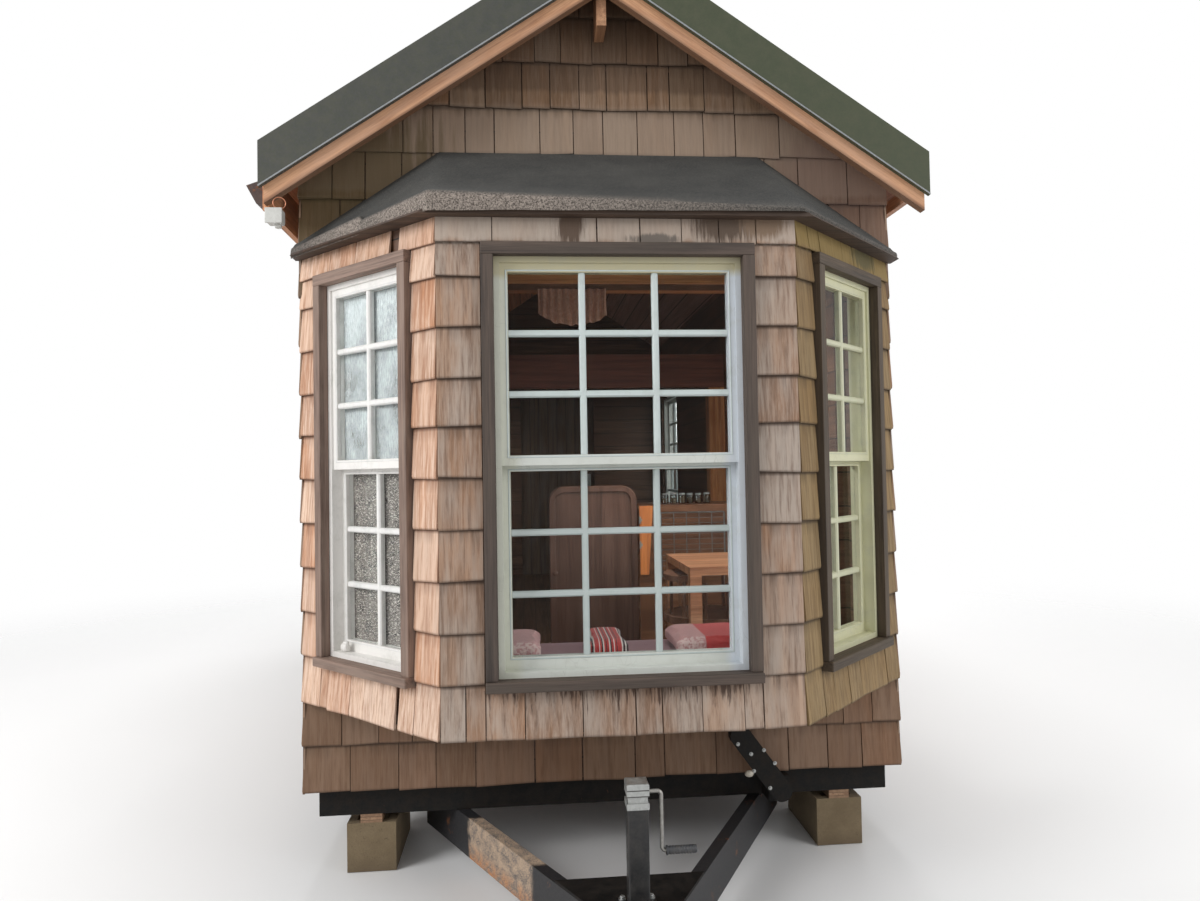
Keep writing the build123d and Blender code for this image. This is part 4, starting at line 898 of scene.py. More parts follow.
def steel_paint(name, tint, dull, rust=0.3, gloss=(0.35, 0.6), dust=(0.20, 0.17, 0.14), dusty=0.35,
                metallic=0.0, split=None, shine=0.5):
    """Paint on steel, dulled in patches, with rust and dust on it; split is a tint for the left half, a
    painted reflection that differs from the right half's.
    """
    finish = Finish(name, tint)
    rusty, dusted, fine = rust_marks(finish.place, Amount=rust)
    if split:
        finish.color = finish.place.parts()[0].ramp(-0.01, 0.01).mix(split, tint)
    finish.coat(fine.ramp(0.35, 0.7, 0.0, 0.6), dull)
    finish.coat(dusted * dusty, dust)
    finish.coat(rusty, fine.ramp(0.35, 0.65).mix((0.10, 0.032, 0.014), (0.30, 0.115, 0.04)))
    bare = rusty.ramp(0, 1, metallic, 0.0) if metallic else 0.0
    return finish.done(dusted.ramp(0, 1, *gloss) + rusty * 0.3, fine + rusty, 0.3, 0.0008,
                       Specular_IOR_Level=shine, Metallic=bare)


dress(steel_paint("roof_paint", (0.061, 0.067, 0.049), (0.051, 0.056, 0.041), 0.05, (0.6, 0.8),
                  (0.15, 0.14, 0.10), 0.25, shine=0.3), "metal_roofing", "ridge_cap")
# The trims' left halves are grey and the right halves olive: painted reflections of the sky and of trees.
dress(steel_paint("roof_trim_paint", (0.060, 0.070, 0.040), (0.050, 0.058, 0.037), 0.05, (0.6, 0.8),
                  (0.15, 0.14, 0.10), 0.25, split=(0.062, 0.063, 0.059), shine=0.3), "rake_trims")
rake_depth, rake_front, rake_rear = 0.173, -2.445, 3.435
hem_low = ridge_top - rake_depth + 0.003
hems = []
for y, out in ((rake_front - 0.0015, -1), (rake_rear + 0.0015, 1)):
    for side in (-1, 1):
        foot = (side * half_roof, y, hem_low - half_roof * roof_slope)
        hems.append(board((0, y, hem_low), foot, 0.006, 0.003, (0, out, 0), 0.001, 1))
# The hem's pale grey is a painted highlight: the sky's reflection along the trim's lower edge.
joined(hems, "rake_hems", steel_paint("hem_highlight_paint", (0.30, 0.32, 0.34), (0.17, 0.18, 0.18), 0.1),
       "roof_metal")

# Under the steel trim stand cedar barge boards, oiled orange brown, their lower edge darkened as painted
# shade.
# The ridge beam's end shows between them; the soffit is boarded, and plain boards close the eaves.
barge_low = (ridge_top - rake_depth - 0.066) * slope_cos
# Painted shade: the barge boards' lower edge is darkened.
barge_shade = (barge_low, barge_low + 0.012, (0.11, 0.055, 0.03))
dress(timber("barge_wood", (0.64, 0.36, 0.20), (0.52, 0.245, 0.12), (0.27, 0.11, 0.05), grain_x, "slope",
             weather=0.35, grey=(0.62, 0.44, 0.32), shaded_edge=barge_shade), "barge_boards")
dress(timber("beam_end_wood", (0.52, 0.29, 0.16), (0.42, 0.20, 0.10), (0.22, 0.10, 0.05), (1, 0.05, 1)),
      "ridge_beam")
dress(timber("fascia_wood", (0.70, 0.34, 0.17), (0.58, 0.25, 0.12), (0.32, 0.13, 0.06), grain_y, weather=0.4,
             grey=(0.36, 0.28, 0.22)), "eave_fascias")
# The soffits are one boarding lit differently: the left bright orange as painted sunlight, the right pinkish
# brown as painted shade.
dress(timber("soffit_boards_left", (0.82, 0.38, 0.19), (0.72, 0.29, 0.13), (0.42, 0.15, 0.065), grain_y,
             "slope", (0, 0.14, 0.02)), "roof_deck_left")
dress(timber("soffit_boards_right", (0.52, 0.29, 0.22), (0.46, 0.235, 0.17), (0.28, 0.14, 0.10), grain_y,
             "slope", (0, 0.14, 0.02)), "roof_deck_right")

# A steel gutter hangs on the left fascia, rusted brown. A small pale box is screwed under its front end,
# with a stiff copper wire bent back into it.
dress(steel_paint("gutter_steel", (0.075, 0.045, 0.04), (0.045, 0.030, 0.028), 0.35, (0.5, 0.75), shine=0.3),
      "gutter")
box_paint = steel_paint("pale_box_paint", (0.60, 0.60, 0.57), (0.50, 0.50, 0.47), 0.08, (0.45, 0.6),
                        dusty=0.3)
box_middle = Vector((-1.241, -2.412, 2.532))
box_body = stick(box_middle, (0.058, 0.050, 0.054), 0, 0.006, 3)
box_lid = stick(box_middle + Vector((0, -0.027, 0)), (0.063, 0.008, 0.058), 0, 0.003, 3)
box_gland = bevel(primitive(bpy.ops.mesh.primitive_cylinder_add, vertices=24, radius=0.012, depth=0.018,
                            location=box_middle + Vector((0.010, 0, -0.032))), 0.002)
joined([box_body, box_lid, box_gland], "eave_box", box_paint, "rim_paint")
copper = steel_paint("copper_wire", (0.52, 0.22, 0.13), (0.34, 0.14, 0.08), 0.0, (0.3, 0.5), metallic=0.9)
wire = primitive(bpy.ops.mesh.primitive_torus_add, location=(-1.222, -2.430, 2.580), major_radius=0.022,
                 rotation=(math.pi / 2, 0, 0.25), minor_radius=0.0022, major_segments=64, minor_segments=12)
settle(wire, "eave_box_wire", copper, "zinc")
cut_above(wire, (0, 0, 2.561), (0, 0, -1))

# The trailer is welded from steel channel painted black, scuffed and rusting at its edges. The left tongue
# beam is tan with rust along its middle: worn paint, brightened between sharp ends as painted sunlight.
black_paint = steel_paint("black_trailer_paint", (0.006, 0.006, 0.006), (0.014, 0.013, 0.012), 0.12,
                          (0.55, 0.85), (0.055, 0.040, 0.030), 0.3, shine=0.15)
dress(black_paint, "main_rails", "end_crossmembers", "floor_crossmembers", "tongue_plate", "axles",
      "tongue_bracket")
dress(steel_paint("jack_post_paint", (0.013, 0.013, 0.014), (0.028, 0.027, 0.027), 0.15, (0.3, 0.5),
                  (0.08, 0.07, 0.06), 0.3, shine=0.4), "jack_post", "coupler")

tongue_paint = Finish("tongue_paint_worn_and_sunlit")
x, y, z = tongue_paint.place.parts()
rusty, dusted, fine = rust_marks(tongue_paint.place, Amount=0.3)
ragged, flecks = tongue_paint.place.noise(30, 4, 0.6), tongue_paint.place.noise(300, 5, 0.8)
# The tan middle stretch is worn paint with rust specks, brightened between sharp ends as painted sunlight.
along_beam = y + ragged * 0.05
worn_and_sunlit = along_beam.ramp(-2.705, -2.685) * along_beam.ramp(-2.285, -2.265, 1.0, 0.0)
worn_and_sunlit = worn_and_sunlit * x.ramp(-0.2, -0.19, 1.0, 0.0)
tan = z.ramp(0.085, 0.14, 1.0, 0.0).mix((0.47, 0.345, 0.24), (0.50, 0.22, 0.09))
tan = ragged.ramp(0.4, 0.65).mix(tan, (0.40, 0.30, 0.22))
tan = (flecks + ragged * 0.25).ramp(0.635, 0.67).mix(tan, (0.055, 0.06, 0.068))
tongue_paint.color = fine.ramp(0.35, 0.7).mix((0.012, 0.012, 0.014), (0.028, 0.028, 0.030))
tongue_paint.coat(flecks.ramp(0.62, 0.68, 0.0, 0.7), (0.20, 0.16, 0.13))
tongue_paint.coat(rusty, (0.22, 0.085, 0.035))
tongue_paint.coat(worn_and_sunlit, tan)
dress(tongue_paint.done(worn_and_sunlit.ramp(0, 1, 0.5, 0.8), flecks, 0.35, 0.0008), "tongue_beams")


# A bolt is a hex head on a washer. Bolts hold the folded bracket, the jack's flange and the coupler; weld
# beads join the tongue to the frame.
def bolt(place, direction, radius=0.009, height=0.007):
    """A hex head on its washer, facing a direction."""
    place, direction = Vector(place), Vector(direction).normalized()
    turn = direction.to_track_quat("Z", "Y").to_euler()
    washer, head = (
        primitive(bpy.ops.mesh.primitive_cylinder_add, vertices=sides, radius=wide, depth=thick,
                  rotation=turn, location=place + direction * off)
        for sides, wide, thick, off in ((20, radius * 1.4, height * 0.3, height * 0.15),
                                        (6, radius, height, height * 0.7)))
    return [washer, bevel(head, height * 0.16, 1)]


def zinc(name, pale, dull, rust, gloss, seams=()):
    """Zinc plating gone dull, with white bloom and a little rust; each seam is a height where a thin dark
    line is drawn.
    """
    finish = Finish(name)
    rusty, dusted, fine = rust_marks(finish.place, Amount=rust)
    flake = finish.add("TexVoronoi", "Color", {"Scale": 130, "Vector": finish.place}).parts("Color")[0]
    finish.color = flake.ramp(0, 1, 0.0, 0.5).mix(pale, dull)
    finish.coat(dusted * 0.35, (0.42, 0.42, 0.40))
    finish.coat(rusty, (0.25, 0.10, 0.045))
    for seam in seams:
        away = (finish.place.parts()[2] - seam).reckon("ABSOLUTE")
        finish.coat(away.ramp(0.0012, 0.0022, 0.9, 0.0), (0.035, 0.03, 0.027))
    return finish.done(dusted.ramp(0, 1, *gloss), fine, 0.25, 0.0006,
                       Metallic=rusty.reckon("MAXIMUM", dusted).ramp(0, 1, 0.85, 0.2))


bright_zinc = zinc("dull_zinc", (0.44, 0.45, 0.44), (0.26, 0.27, 0.27), 0.15, (0.35, 0.65))
dress(bright_zinc, "jack_leg", "door_handle")
dress(zinc("cap_zinc", (0.42, 0.43, 0.42), (0.24, 0.25, 0.24), 0.25, (0.3, 0.55), (0.6015, 0.5835)),
      "jack_cap")
dress(zinc("crank_zinc", (0.33, 0.32, 0.30), (0.16, 0.15, 0.13), 0.35, (0.35, 0.6)), "crank_arm")
dress(zinc("galvanised_sheet", (0.48, 0.49, 0.50), (0.33, 0.34, 0.35), 0.2, (0.4, 0.7)), "wheel_wells")

bracket_face = -2.349
jack_y, flange_top, flange_reach = -3.065, 0.246, 0.045
fixings = []
for x, z in ((0.494, 0.477), (0.598, 0.449), (0.546, 0.436), (0.641, 0.396), (0.556, 0.369), (0.620, 0.300)):
    fixings += bolt((x, bracket_face, z), (0, -1, 0), 0.0055, 0.005)
for x in (-flange_reach, flange_reach):
    for y in (jack_y - flange_reach, jack_y + flange_reach):
        fixings += bolt((x, y, flange_top), (0, 0, 1), 0.0085, 0.008)
for y in (-3.33, -3.26):
    for side in (-1, 1):
        fixings += bolt((side * 0.038, y, 0.262), (side, 0, 0), 0.0095, 0.008)
joined(fixings, "bolts", bright_zinc, "zinc")

knob_ball = primitive(bpy.ops.mesh.primitive_uv_sphere_add, segments=28, ring_count=16, radius=0.014,
                      location=(0.532, bracket_face - 0.018, 0.366))
knob_ball.scale = (1.25, 0.8, 0.9)
knob_stem = primitive(bpy.ops.mesh.primitive_cylinder_add, vertices=20, radius=0.006, depth=0.016,
                      rotation=(math.pi / 2, 0, 0), location=(0.532, bracket_face - 0.006, 0.366))
joined([knob_ball, bevel(knob_stem, 0.001)], "bracket_knob",
       steel_paint("pale_knob", (0.52, 0.48, 0.40), (0.40, 0.36, 0.30), 0.15, (0.35, 0.6)), "rim_paint")
bpy.ops.object.shade_smooth_by_angle(angle=math.radians(40))


def bead(start, run, radius=0.004):
    """A weld bead: small overlapping ripples along a line."""
    start, end = Vector(start), Vector(start) + Vector(run)
    count = max(2, int((end - start).length / (radius * 1.5)))
    first = primitive(bpy.ops.mesh.primitive_ico_sphere_add, subdivisions=1, radius=radius)
    ripples = [first] + [new_object("ripple", first.data.copy()) for _ in range(count)]
    for i, ripple in enumerate(ripples):
        uneven = board_chance.uniform(-0.0005, 0.0005)
        ripple.location = start.lerp(end, i / count) + Vector((0, 0, uneven))
    return ripples


frame_front_y, frame_low, tongue_tip_y, beam_turn = -2.209, 0.224, -3.282, math.radians(29.8)
welds = []
for side in (-1, 1):
    outer = side * (frame_front_y - tongue_tip_y) * math.tan(beam_turn)
    for shift in (0.0, -side * 0.05):
        welds += bead((outer + shift, frame_front_y, frame_low), (side * 0.024, 0.040, 0))
    welds += bead((outer - side * 0.048, frame_front_y - 0.001, frame_low), (side * 0.050, 0, 0))
for x in (-0.036, 0.036):
    welds += bead((x, jack_y - 0.030, 0.247), (0, 0.060, 0), 0.003)
joined(welds, "weld_beads", black_paint, "trailer_paint")


# The crank's grip is a turned sleeve, black, ribbed along its length and flanged at its inner end. It turns
# with the crank.
def turned(profile, middle, direction, steps=64):
    """A closed outline of (radius, height) points turned about an axis through its middle."""
    outline = bpy.data.meshes.new("turned")
    count = len(profile)
    outline.from_pydata([(radius, 0, height) for radius, height in profile],
                        [(i, (i + 1) % count) for i in range(count)], [])
    piece = modify(new_object("turned", outline), "SCREW", steps=steps, render_steps=steps,
                   use_merge_vertices=True)
    with all_of(piece):
        bpy.ops.mesh.remove_doubles(threshold=1e-5)
        bpy.ops.mesh.normals_make_consistent(inside=False)
    bpy.ops.object.shade_smooth_by_angle(angle=math.radians(35))
    turn = Vector(direction).to_track_quat("Z", "Y").to_matrix().to_4x4()
    piece.matrix_world = Matrix.Translation(Vector(middle)) @ turn
    return piece


def mottled(name, pale, dark, gloss, scale, relief=0.3, dusty=0.25, dust=(0.30, 0.26, 0.21)):
    """A plain mass such as rubber or moulded plastic, slightly uneven, with dust."""
    finish = Finish(name)
    uneven = finish.place.noise(scale, 4, 0.65)
    finish.color = uneven.ramp(0.35, 0.65).mix(dark, pale)
    finish.coat(finish.place.noise(scale / 5, 5, 0.7).ramp(0.45, 0.75, 0.0, dusty), dust)
    return finish.done(uneven.ramp(0.3, 0.7, *gloss), uneven, relief, 0.0008)


grip_outline = [(0.0065, 0.0), (0.0135, 0.0), (0.014, 0.0012), (0.014, 0.005), (0.0115, 0.0075)]
for i in range(9):
    low = 0.010 + i * 0.0088
    grip_outline += [(0.0113, low), (0.0126, low + 0.0018), (0.0126, low + 0.0058), (0.0113, low + 0.0074)]
grip_outline += [(0.0122, 0.0905), (0.0105, 0.0945), (0.0065, 0.095)]
grip_piece = turned(grip_outline, (0.0863, jack_y, 0.407), (1, 0, 0), 48)
grip_black = mottled("grip_black", (0.045, 0.047, 0.052), (0.028, 0.029, 0.033), (0.4, 0.6), 140)
settle(grip_piece, "crank_grip_sleeve", grip_black, "grip", "jack_crank")
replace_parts(grip_piece, "crank_grip")

# Four wheels: tyres with grooved tread and block shoulders on pressed steel rims, each held by five nuts.
# The outlines are turned about the wheel's axis, the tyre's from one half and its mirror image.
tyre_half = [(0.1745, 0.0600), (0.1745, 0.0725), (0.1765, 0.0760), (0.1850, 0.0765), (0.1930, 0.0835),
             (0.2030, 0.0865), (0.2060, 0.0880), (0.2090, 0.0872), (0.2300, 0.0915), (0.2550, 0.0920),
             (0.2580, 0.0900), (0.2610, 0.0915), (0.2850, 0.0870), (0.2960, 0.0800), (0.3020, 0.0740),
             (0.3055, 0.0680), (0.3080, 0.0560), (0.3085, 0.0460), (0.3020, 0.0445), (0.3020, 0.0385),
             (0.3092, 0.0370), (0.3098, 0.0150), (0.3030, 0.0135), (0.3030, 0.0070), (0.3099, 0.0055)]
tyre_outline = tyre_half + [(radius, -height) for radius, height in reversed(tyre_half)]
rim_outline = [(0.1815, -0.0815), (0.1745, -0.0800), (0.1715, -0.0740), (0.1715, -0.0560), (0.1570, -0.0460),
               (0.1520, -0.0360), (0.1520, 0.0180), (0.1570, 0.0300), (0.1715, 0.0440), (0.1715, 0.0740),
               (0.1745, 0.0800), (0.1815, 0.0815), (0.1805, 0.0840), (0.1725, 0.0832), (0.1675, 0.0765),
               (0.1675, 0.0470), (0.1530, 0.0330), (0.1480, 0.0200), (0.1480, -0.0380), (0.1530, -0.0490),
               (0.1675, -0.0580), (0.1675, -0.0765), (0.1725, -0.0832), (0.1805, -0.0840)]
dish_outline = [(0.0400, 0.0000), (0.0400, 0.0100), (0.0700, 0.0110), (0.0780, 0.0160), (0.0900, 0.0270),
                (0.1100, 0.0310), (0.1280, 0.0270), (0.1420, 0.0120), (0.1500, 0.0090), (0.1500, 0.0040),
                (0.1400, 0.0060), (0.1260, 0.0210), (0.1100, 0.0250), (0.0930, 0.0210), (0.0800, 0.0090),
                (0.0720, 0.0040), (0.0500, 0.0000)]
cap_outline = [(0.0, 0.0020), (0.0, 0.0400), (0.0170, 0.0395), (0.0260, 0.0360), (0.0310, 0.0280),
               (0.0330, 0.0060), (0.0395, 0.0040), (0.0395, 0.0020)]
tyre_middle, wheel_rows, axle_height, tyre_steps, nut_circle = 1.0815, (0.675, 1.435), 0.310, 120, 0.056
tread_radius, shoulder, groove = 0.3015, 0.046, 0.0055
tyre_pieces, rim_pieces = [], []
for side in (-1, 1):
    for y in wheel_rows:
        centre, outwards = (side * tyre_middle, y, axle_height), (side, 0, 0)
        tyre = turned(tyre_outline, centre, outwards, tyre_steps)
        for vertex in tyre.data.vertices:
            radius = math.hypot(vertex.co.x, vertex.co.y)
            step = round(math.atan2(vertex.co.y, vertex.co.x) / math.tau * tyre_steps) % 6
            if radius > tread_radius and abs(vertex.co.z) > shoulder and step < 2:
                vertex.co.x *= (radius - groove) / radius
                vertex.co.y *= (radius - groove) / radius
        tyre_pieces.append(tyre)
        rim_pieces += [turned(rim_outline, centre, outwards, 72), turned(dish_outline, centre, outwards, 60),
                       turned(cap_outline, centre, outwards, 32)]
        for i in range(5):
            angle = math.tau * i / 5 + 0.3
            off = Vector((side * 0.0105, nut_circle * math.cos(angle), nut_circle * math.sin(angle)))
            rim_pieces += bolt(Vector(centre) + off, outwards, 0.0105, 0.016)
rubber = mottled("tyre_rubber", (0.040, 0.039, 0.038), (0.022, 0.022, 0.022), (0.65, 0.9), 110, 0.3, 0.35,
                 (0.13, 0.11, 0.085))
rim_paint = steel_paint("rim_paint_worn", (0.70, 0.70, 0.67), (0.60, 0.60, 0.57), 0.22, (0.35, 0.55),
                        (0.26, 0.20, 0.15), 0.4)
tyres_piece = joined(tyre_pieces, "tyres_with_tread", rubber, "tyre")
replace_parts(tyres_piece, "tyres")
rims_piece = joined(rim_pieces, "steel_rims", rim_paint, "rim_paint")
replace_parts(rims_piece, "wheel_rims")

# Hollow concrete blocks stand under the frame's corners, with softwood shims between them and the steel.
# The blocks are cast, gritty and pitted, and darker where they stand on the ground.
concrete = Finish("cast_concrete")
grit, broad = concrete.place.noise(300, 4, 0.75), concrete.place.noise(9, 5, 0.65)
pits = concrete.add("TexVoronoi", "Distance", {"Scale": 160, "Vector": concrete.place})
pits = pits.ramp(0.12, 0.22, 1.0, 0.0) * concrete.place.noise(40, 2).ramp(0.5, 0.6)
# The blocks are darkened part way as painted shade under the trailer.
concrete.color = broad.ramp(0.35, 0.65).mix((0.225, 0.168, 0.098), (0.175, 0.128, 0.072))
concrete.coat(grit.ramp(0.4, 0.65, 0.0, 0.5), (0.105, 0.08, 0.052))
concrete.coat(pits, (0.04, 0.03, 0.022))
concrete.coat(concrete.place.parts()[2].ramp(0.0, 0.06, 0.5, 0.0), (0.11, 0.08, 0.05))
dress(concrete.done(0.92, grit - pits * 2.0, 0.8, 0.002), "support_blocks")
dress(timber("shim_wood", (0.42, 0.27, 0.16), (0.33, 0.19, 0.11), (0.17, 0.09, 0.05), (1, 0.05, 1),
             planks=(2, 0.0125, 0.05)), "block_shims")

# The rear door is made of upright boards behind a plain casing. Three long strap hinges carry it, and a
# zinc knob on a plate opens it.
dress(timber("door_boards", (0.20, 0.125, 0.08), (0.145, 0.085, 0.055), (0.06, 0.035, 0.024), grain_z,
             planks=(0, 0.095, 0.03), weather=0.4, grey=(0.22, 0.18, 0.15)), "rear_door")
door_face, case_y = 3.202, wall_rear + casing_out / 2
head_reach, head_z = door_half + door_case, door_high + door_case / 2
case_boards = [board((-head_reach, case_y, head_z), (head_reach, case_y, head_z), door_case, casing_out,
                     (0, 1, 0))]
for x in (-door_half - door_case / 2, door_half + door_case / 2):
    case_boards.append(board((x, case_y, door_low), (x, case_y, door_high), door_case, casing_out - 0.001,
                             (0, 1, 0)))
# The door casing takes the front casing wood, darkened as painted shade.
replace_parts(joined(case_boards, "door_casing_boards", casing_wood, "casing_wood"), "door_casing")
pin_outline = [(0.0, -0.032), (0.0, 0.032), (0.007, 0.032), (0.008, 0.030), (0.008, -0.030), (0.007, -0.032)]
straps = []
for z in (0.76, 1.50, 2.20):
    straps.append(board((-0.372, door_face + 0.0025, z), (0.06, door_face + 0.0025, z), 0.042, 0.005,
                        (0, 1, 0), 0.001))
    straps.append(turned(pin_outline, (-0.374, door_face + 0.007, z), (0, 0, 1), 20))
    for x in (-0.33, -0.20, -0.07, 0.035):
        straps += bolt((x, door_face + 0.005, z), (0, 1, 0), 0.006, 0.004)
joined(straps, "strap_hinges", black_paint, "trailer_paint")

# Inside, the walls are lined with level boards of brown varnished wood, and the floor is boarded too.
# A beam crosses over the bay's opening; another, on a post, carries a loft further back.
dress(timber("lining_boards", (0.20, 0.105, 0.06), (0.145, 0.07, 0.04), (0.06, 0.028, 0.016), (0.05, 0.05, 1),
             planks=(2, 0.14, 0.02), gloss=(0.35, 0.55)),
      "left_wall", "right_wall", "front_wall", "rear_wall", "bay_front_wall", "bay_left_wall",
      "bay_right_wall")
dress(timber("floor_boards", (0.24, 0.14, 0.08), (0.17, 0.09, 0.05), (0.07, 0.035, 0.02), grain_y,
             planks=(0, 0.09, 0.02), gloss=(0.35, 0.55)), "floor_deck", "bay_floor")
# The header beam's bright orange is painted sunlight on its wood.
dress(timber("header_beam_wood", (0.62, 0.25, 0.09), (0.50, 0.18, 0.06), (0.22, 0.075, 0.03), grain_x,
             gloss=(0.3, 0.5)), "header_beam")
dress(timber("loft_beam_wood", (0.20, 0.070, 0.042), (0.15, 0.048, 0.030), (0.06, 0.018, 0.012), grain_x,
             gloss=(0.35, 0.55)), "loft_beam")
# The post's bright orange is painted sunlight on its wood.
dress(timber("post_wood", (0.62, 0.29, 0.12), (0.48, 0.18, 0.065), (0.20, 0.07, 0.03), grain_z,
             gloss=(0.3, 0.5)), "interior_post")
# The bay roof's boards are made near black as painted shade under the felt's fold.
dress(timber("bay_roof_boards", (0.085, 0.05, 0.032), (0.06, 0.035, 0.022), (0.022, 0.013, 0.009), grain_x),
      "bay_roof")
# The bay's header trim is bright orange: painted sunlight on its wood.
trim_wood = timber("bay_header_wood", (0.88, 0.42, 0.17), (0.78, 0.33, 0.12), (0.40, 0.14, 0.055), grain_x,
                   gloss=(0.35, 0.55))
joined([board((-0.62, -2.2525, 2.348), (0.62, -2.2525, 2.348), 0.054, 0.014, (0, -1, 0))], "bay_header_trim",
       trim_wood, "interior_wood")

# Behind the bay stands a dark panel with rounded upper corners. It has a raised rim, and a small turned knob.
# The rim is inset from the panel's outline, with the same rounding.
panel_wood = timber("panel_wood", (0.185, 0.098, 0.068), (0.145, 0.07, 0.047), (0.066, 0.030, 0.020), grain_z,
                    gloss=(0.3, 0.5))
dress(panel_wood, "arched_panel")
panel_half, panel_front, panel_low, panel_high, panel_round = 0.215, -1.545, 0.496, 1.490, 0.075
rim = primitive(bpy.ops.mesh.primitive_plane_add, size=1, rotation=(math.pi / 2, 0, 0),
                location=(0, panel_front - 0.003, (panel_low + panel_high) / 2))
rim.scale = (2 * panel_half - 0.004, panel_high - panel_low - 0.004, 1)
settle(rim)
with all_of(rim):
    bpy.ops.mesh.select_all(action="DESELECT")
for vertex in rim.data.vertices:
    vertex.select = vertex.co.z > 1.0
bpy.ops.object.mode_set(mode="EDIT")
bpy.ops.mesh.bevel(offset=panel_round, segments=10, affect="VERTICES", profile=0.5)
bpy.ops.mesh.select_all(action="SELECT")
bpy.ops.mesh.inset(thickness=0.028)
bpy.ops.mesh.delete(type="FACE")
bpy.ops.object.mode_set(mode="OBJECT")
bevel(modify(rim, "SOLIDIFY", thickness=0.008, offset=0), 0.0025)
panel_knob = turned([(0.0, 0.0), (0.006, 0.0), (0.006, 0.010), (0.012, 0.014), (0.0135, 0.020),
                     (0.010, 0.027), (0.0, 0.029)], (-0.190, panel_front - 0.006, 1.073), (0, -1, 0), 28)
joined([rim, panel_knob], "panel_rim", panel_wood, "interior_wood")

# A small table fills the corner right of the bay, with a low round-backed chair under it, and an open shelf
# cabinet stands beyond, with a wire rack and a row of jars on top. A tapered orange board on the cabinet's
# side stands for a patch of sunlight: painted sunlight.
# The table's bright orange is partly the wood and partly painted sunlight.
dress(timber("table_wood", (0.76, 0.41, 0.24), (0.66, 0.31, 0.16), (0.30, 0.11, 0.05), grain_x,
             planks=(1, 0.11, 0.02), gloss=(0.35, 0.5)), "table")
dress(timber("cabinet_wood", (0.24, 0.105, 0.05), (0.17, 0.07, 0.035), (0.07, 0.028, 0.015), (0.05, 1, 1),
             gloss=(0.3, 0.5)), "cabinet")
dress(timber("chair_wood", (0.33, 0.18, 0.12), (0.25, 0.125, 0.08), (0.11, 0.05, 0.03), (1, 1, 0.05),
             gloss=(0.25, 0.45)), "chair")
# A board shaped as the patch of sunlight on the cabinet's side: painted sunlight.
sun_patch_wood = timber("sun_patch_board_wood", (0.88, 0.33, 0.10), (0.80, 0.27, 0.075), (0.48, 0.14, 0.045),
                   (0.05, 1, 1), "grain", gloss=(0.3, 0.5))
sun_patch_board = settle(board((0.3425, -0.963, 1.362), (0.3425, -0.963, 0.977), 0.077, 0.014, (0, -1, 0), 0.003))
for vertex in sun_patch_board.data.vertices:
    if vertex.co.z < 1.0:
        vertex.co.x = 0.306 + (vertex.co.x - 0.304) * 0.62
settle(sun_patch_board, "cabinet_sun_patch_board", sun_patch_wood, "interior_wood")
hinge_parts = []
for z in (1.284, 1.145):
    hinge_parts += bolt((0.312, -0.970, z), (0, -1, 0), 0.006, 0.004)
    hinge_parts.append(stick((0.306, -0.974, z), (0.010, 0.006, 0.040), 0, 0.0015, 2))
joined(hinge_parts, "cabinet_hinges", bright_zinc, "zinc")


def rod(start, end, radius, sides):
    """A straight round rod with softened ends."""
    start, end = Vector(start), Vector(end)
    turn = (end - start).to_track_quat("Z", "Y").to_euler()
    made = primitive(bpy.ops.mesh.primitive_cylinder_add, vertices=sides, radius=radius, rotation=turn,
                     depth=(end - start).length, location=(start + end) / 2)
    return bevel(made, radius * 0.3, 1)


left, right, low, high, rack_y, rack_back = 0.424, 0.784, 0.966, 1.322, -0.975, -0.954
wires = [((left, rack_y, z), (right, rack_y, z), 0.004, 12) for z in (low, high)]
wires += [((x, rack_y, low), (x, rack_y, high), 0.004, 12) for x in (left, right)]
wires += [((left, rack_y, z), (right, rack_y, z), 0.0016, 8)
          for z in (low + (high - low) * i / 12 for i in range(1, 12))]
wires += [((x, rack_y - 0.003, low), (x, rack_y - 0.003, high), 0.0025, 8)
          for x in (left + (right - left) * i / 5 for i in range(1, 5))]
wires += [((x, rack_y, z), (x, rack_back, z), 0.003, 10) for x in (left, right) for z in (low, high)]
joined([rod(*wire) for wire in wires], "wire_rack",
       zinc("rack_steel", (0.22, 0.22, 0.22), (0.12, 0.12, 0.12), 0.2, (0.35, 0.6)), "zinc")

jar_glass = Finish("jar_glass")
jar_glass.color = jar_glass.place.noise(60, 3).ramp(0.4, 0.7).mix((0.86, 0.90, 0.88), (0.78, 0.83, 0.82))
chance = random.Random(33)
jars, fillings, lids = [], [], []
for i in range(6):
    radius, tall = chance.uniform(0.018, 0.022), chance.uniform(0.050, 0.058)
    foot = (0.490 + i * 0.049, -0.745 + chance.uniform(-0.012, 0.012), 1.3645)
    level = tall * chance.uniform(0.45, 0.75)
    for made, outline, steps in (
        (jars, [(0.0, 0.0), (radius * 0.9, 0.0), (radius, 0.003), (radius, tall * 0.80),
                (radius * 0.8, tall * 0.92), (radius * 0.8, tall), (radius * 0.72, tall),
                (radius * 0.72, tall * 0.90), (radius - 0.002, tall * 0.78), (radius - 0.002, 0.004),
                (0.0, 0.003)], 28),
        (fillings, [(0.0, 0.0045), (radius - 0.003, 0.0045), (radius - 0.003, level),
                    (0.0, level + 0.002)], 20),
        (lids, [(0.0, tall + 0.0005), (radius * 0.80, tall + 0.0005), (radius * 0.84, tall - 0.005),
                (radius * 0.88, tall - 0.005), (radius * 0.88, tall + 0.004), (radius * 0.80, tall + 0.006),
                (0.0, tall + 0.006)], 28),
    ):
        made.append(turned(outline, foot, (0, 0, 1), steps))
joined(jars, "jars", jar_glass.done(0.05, Transmission_Weight=1.0), "glass")
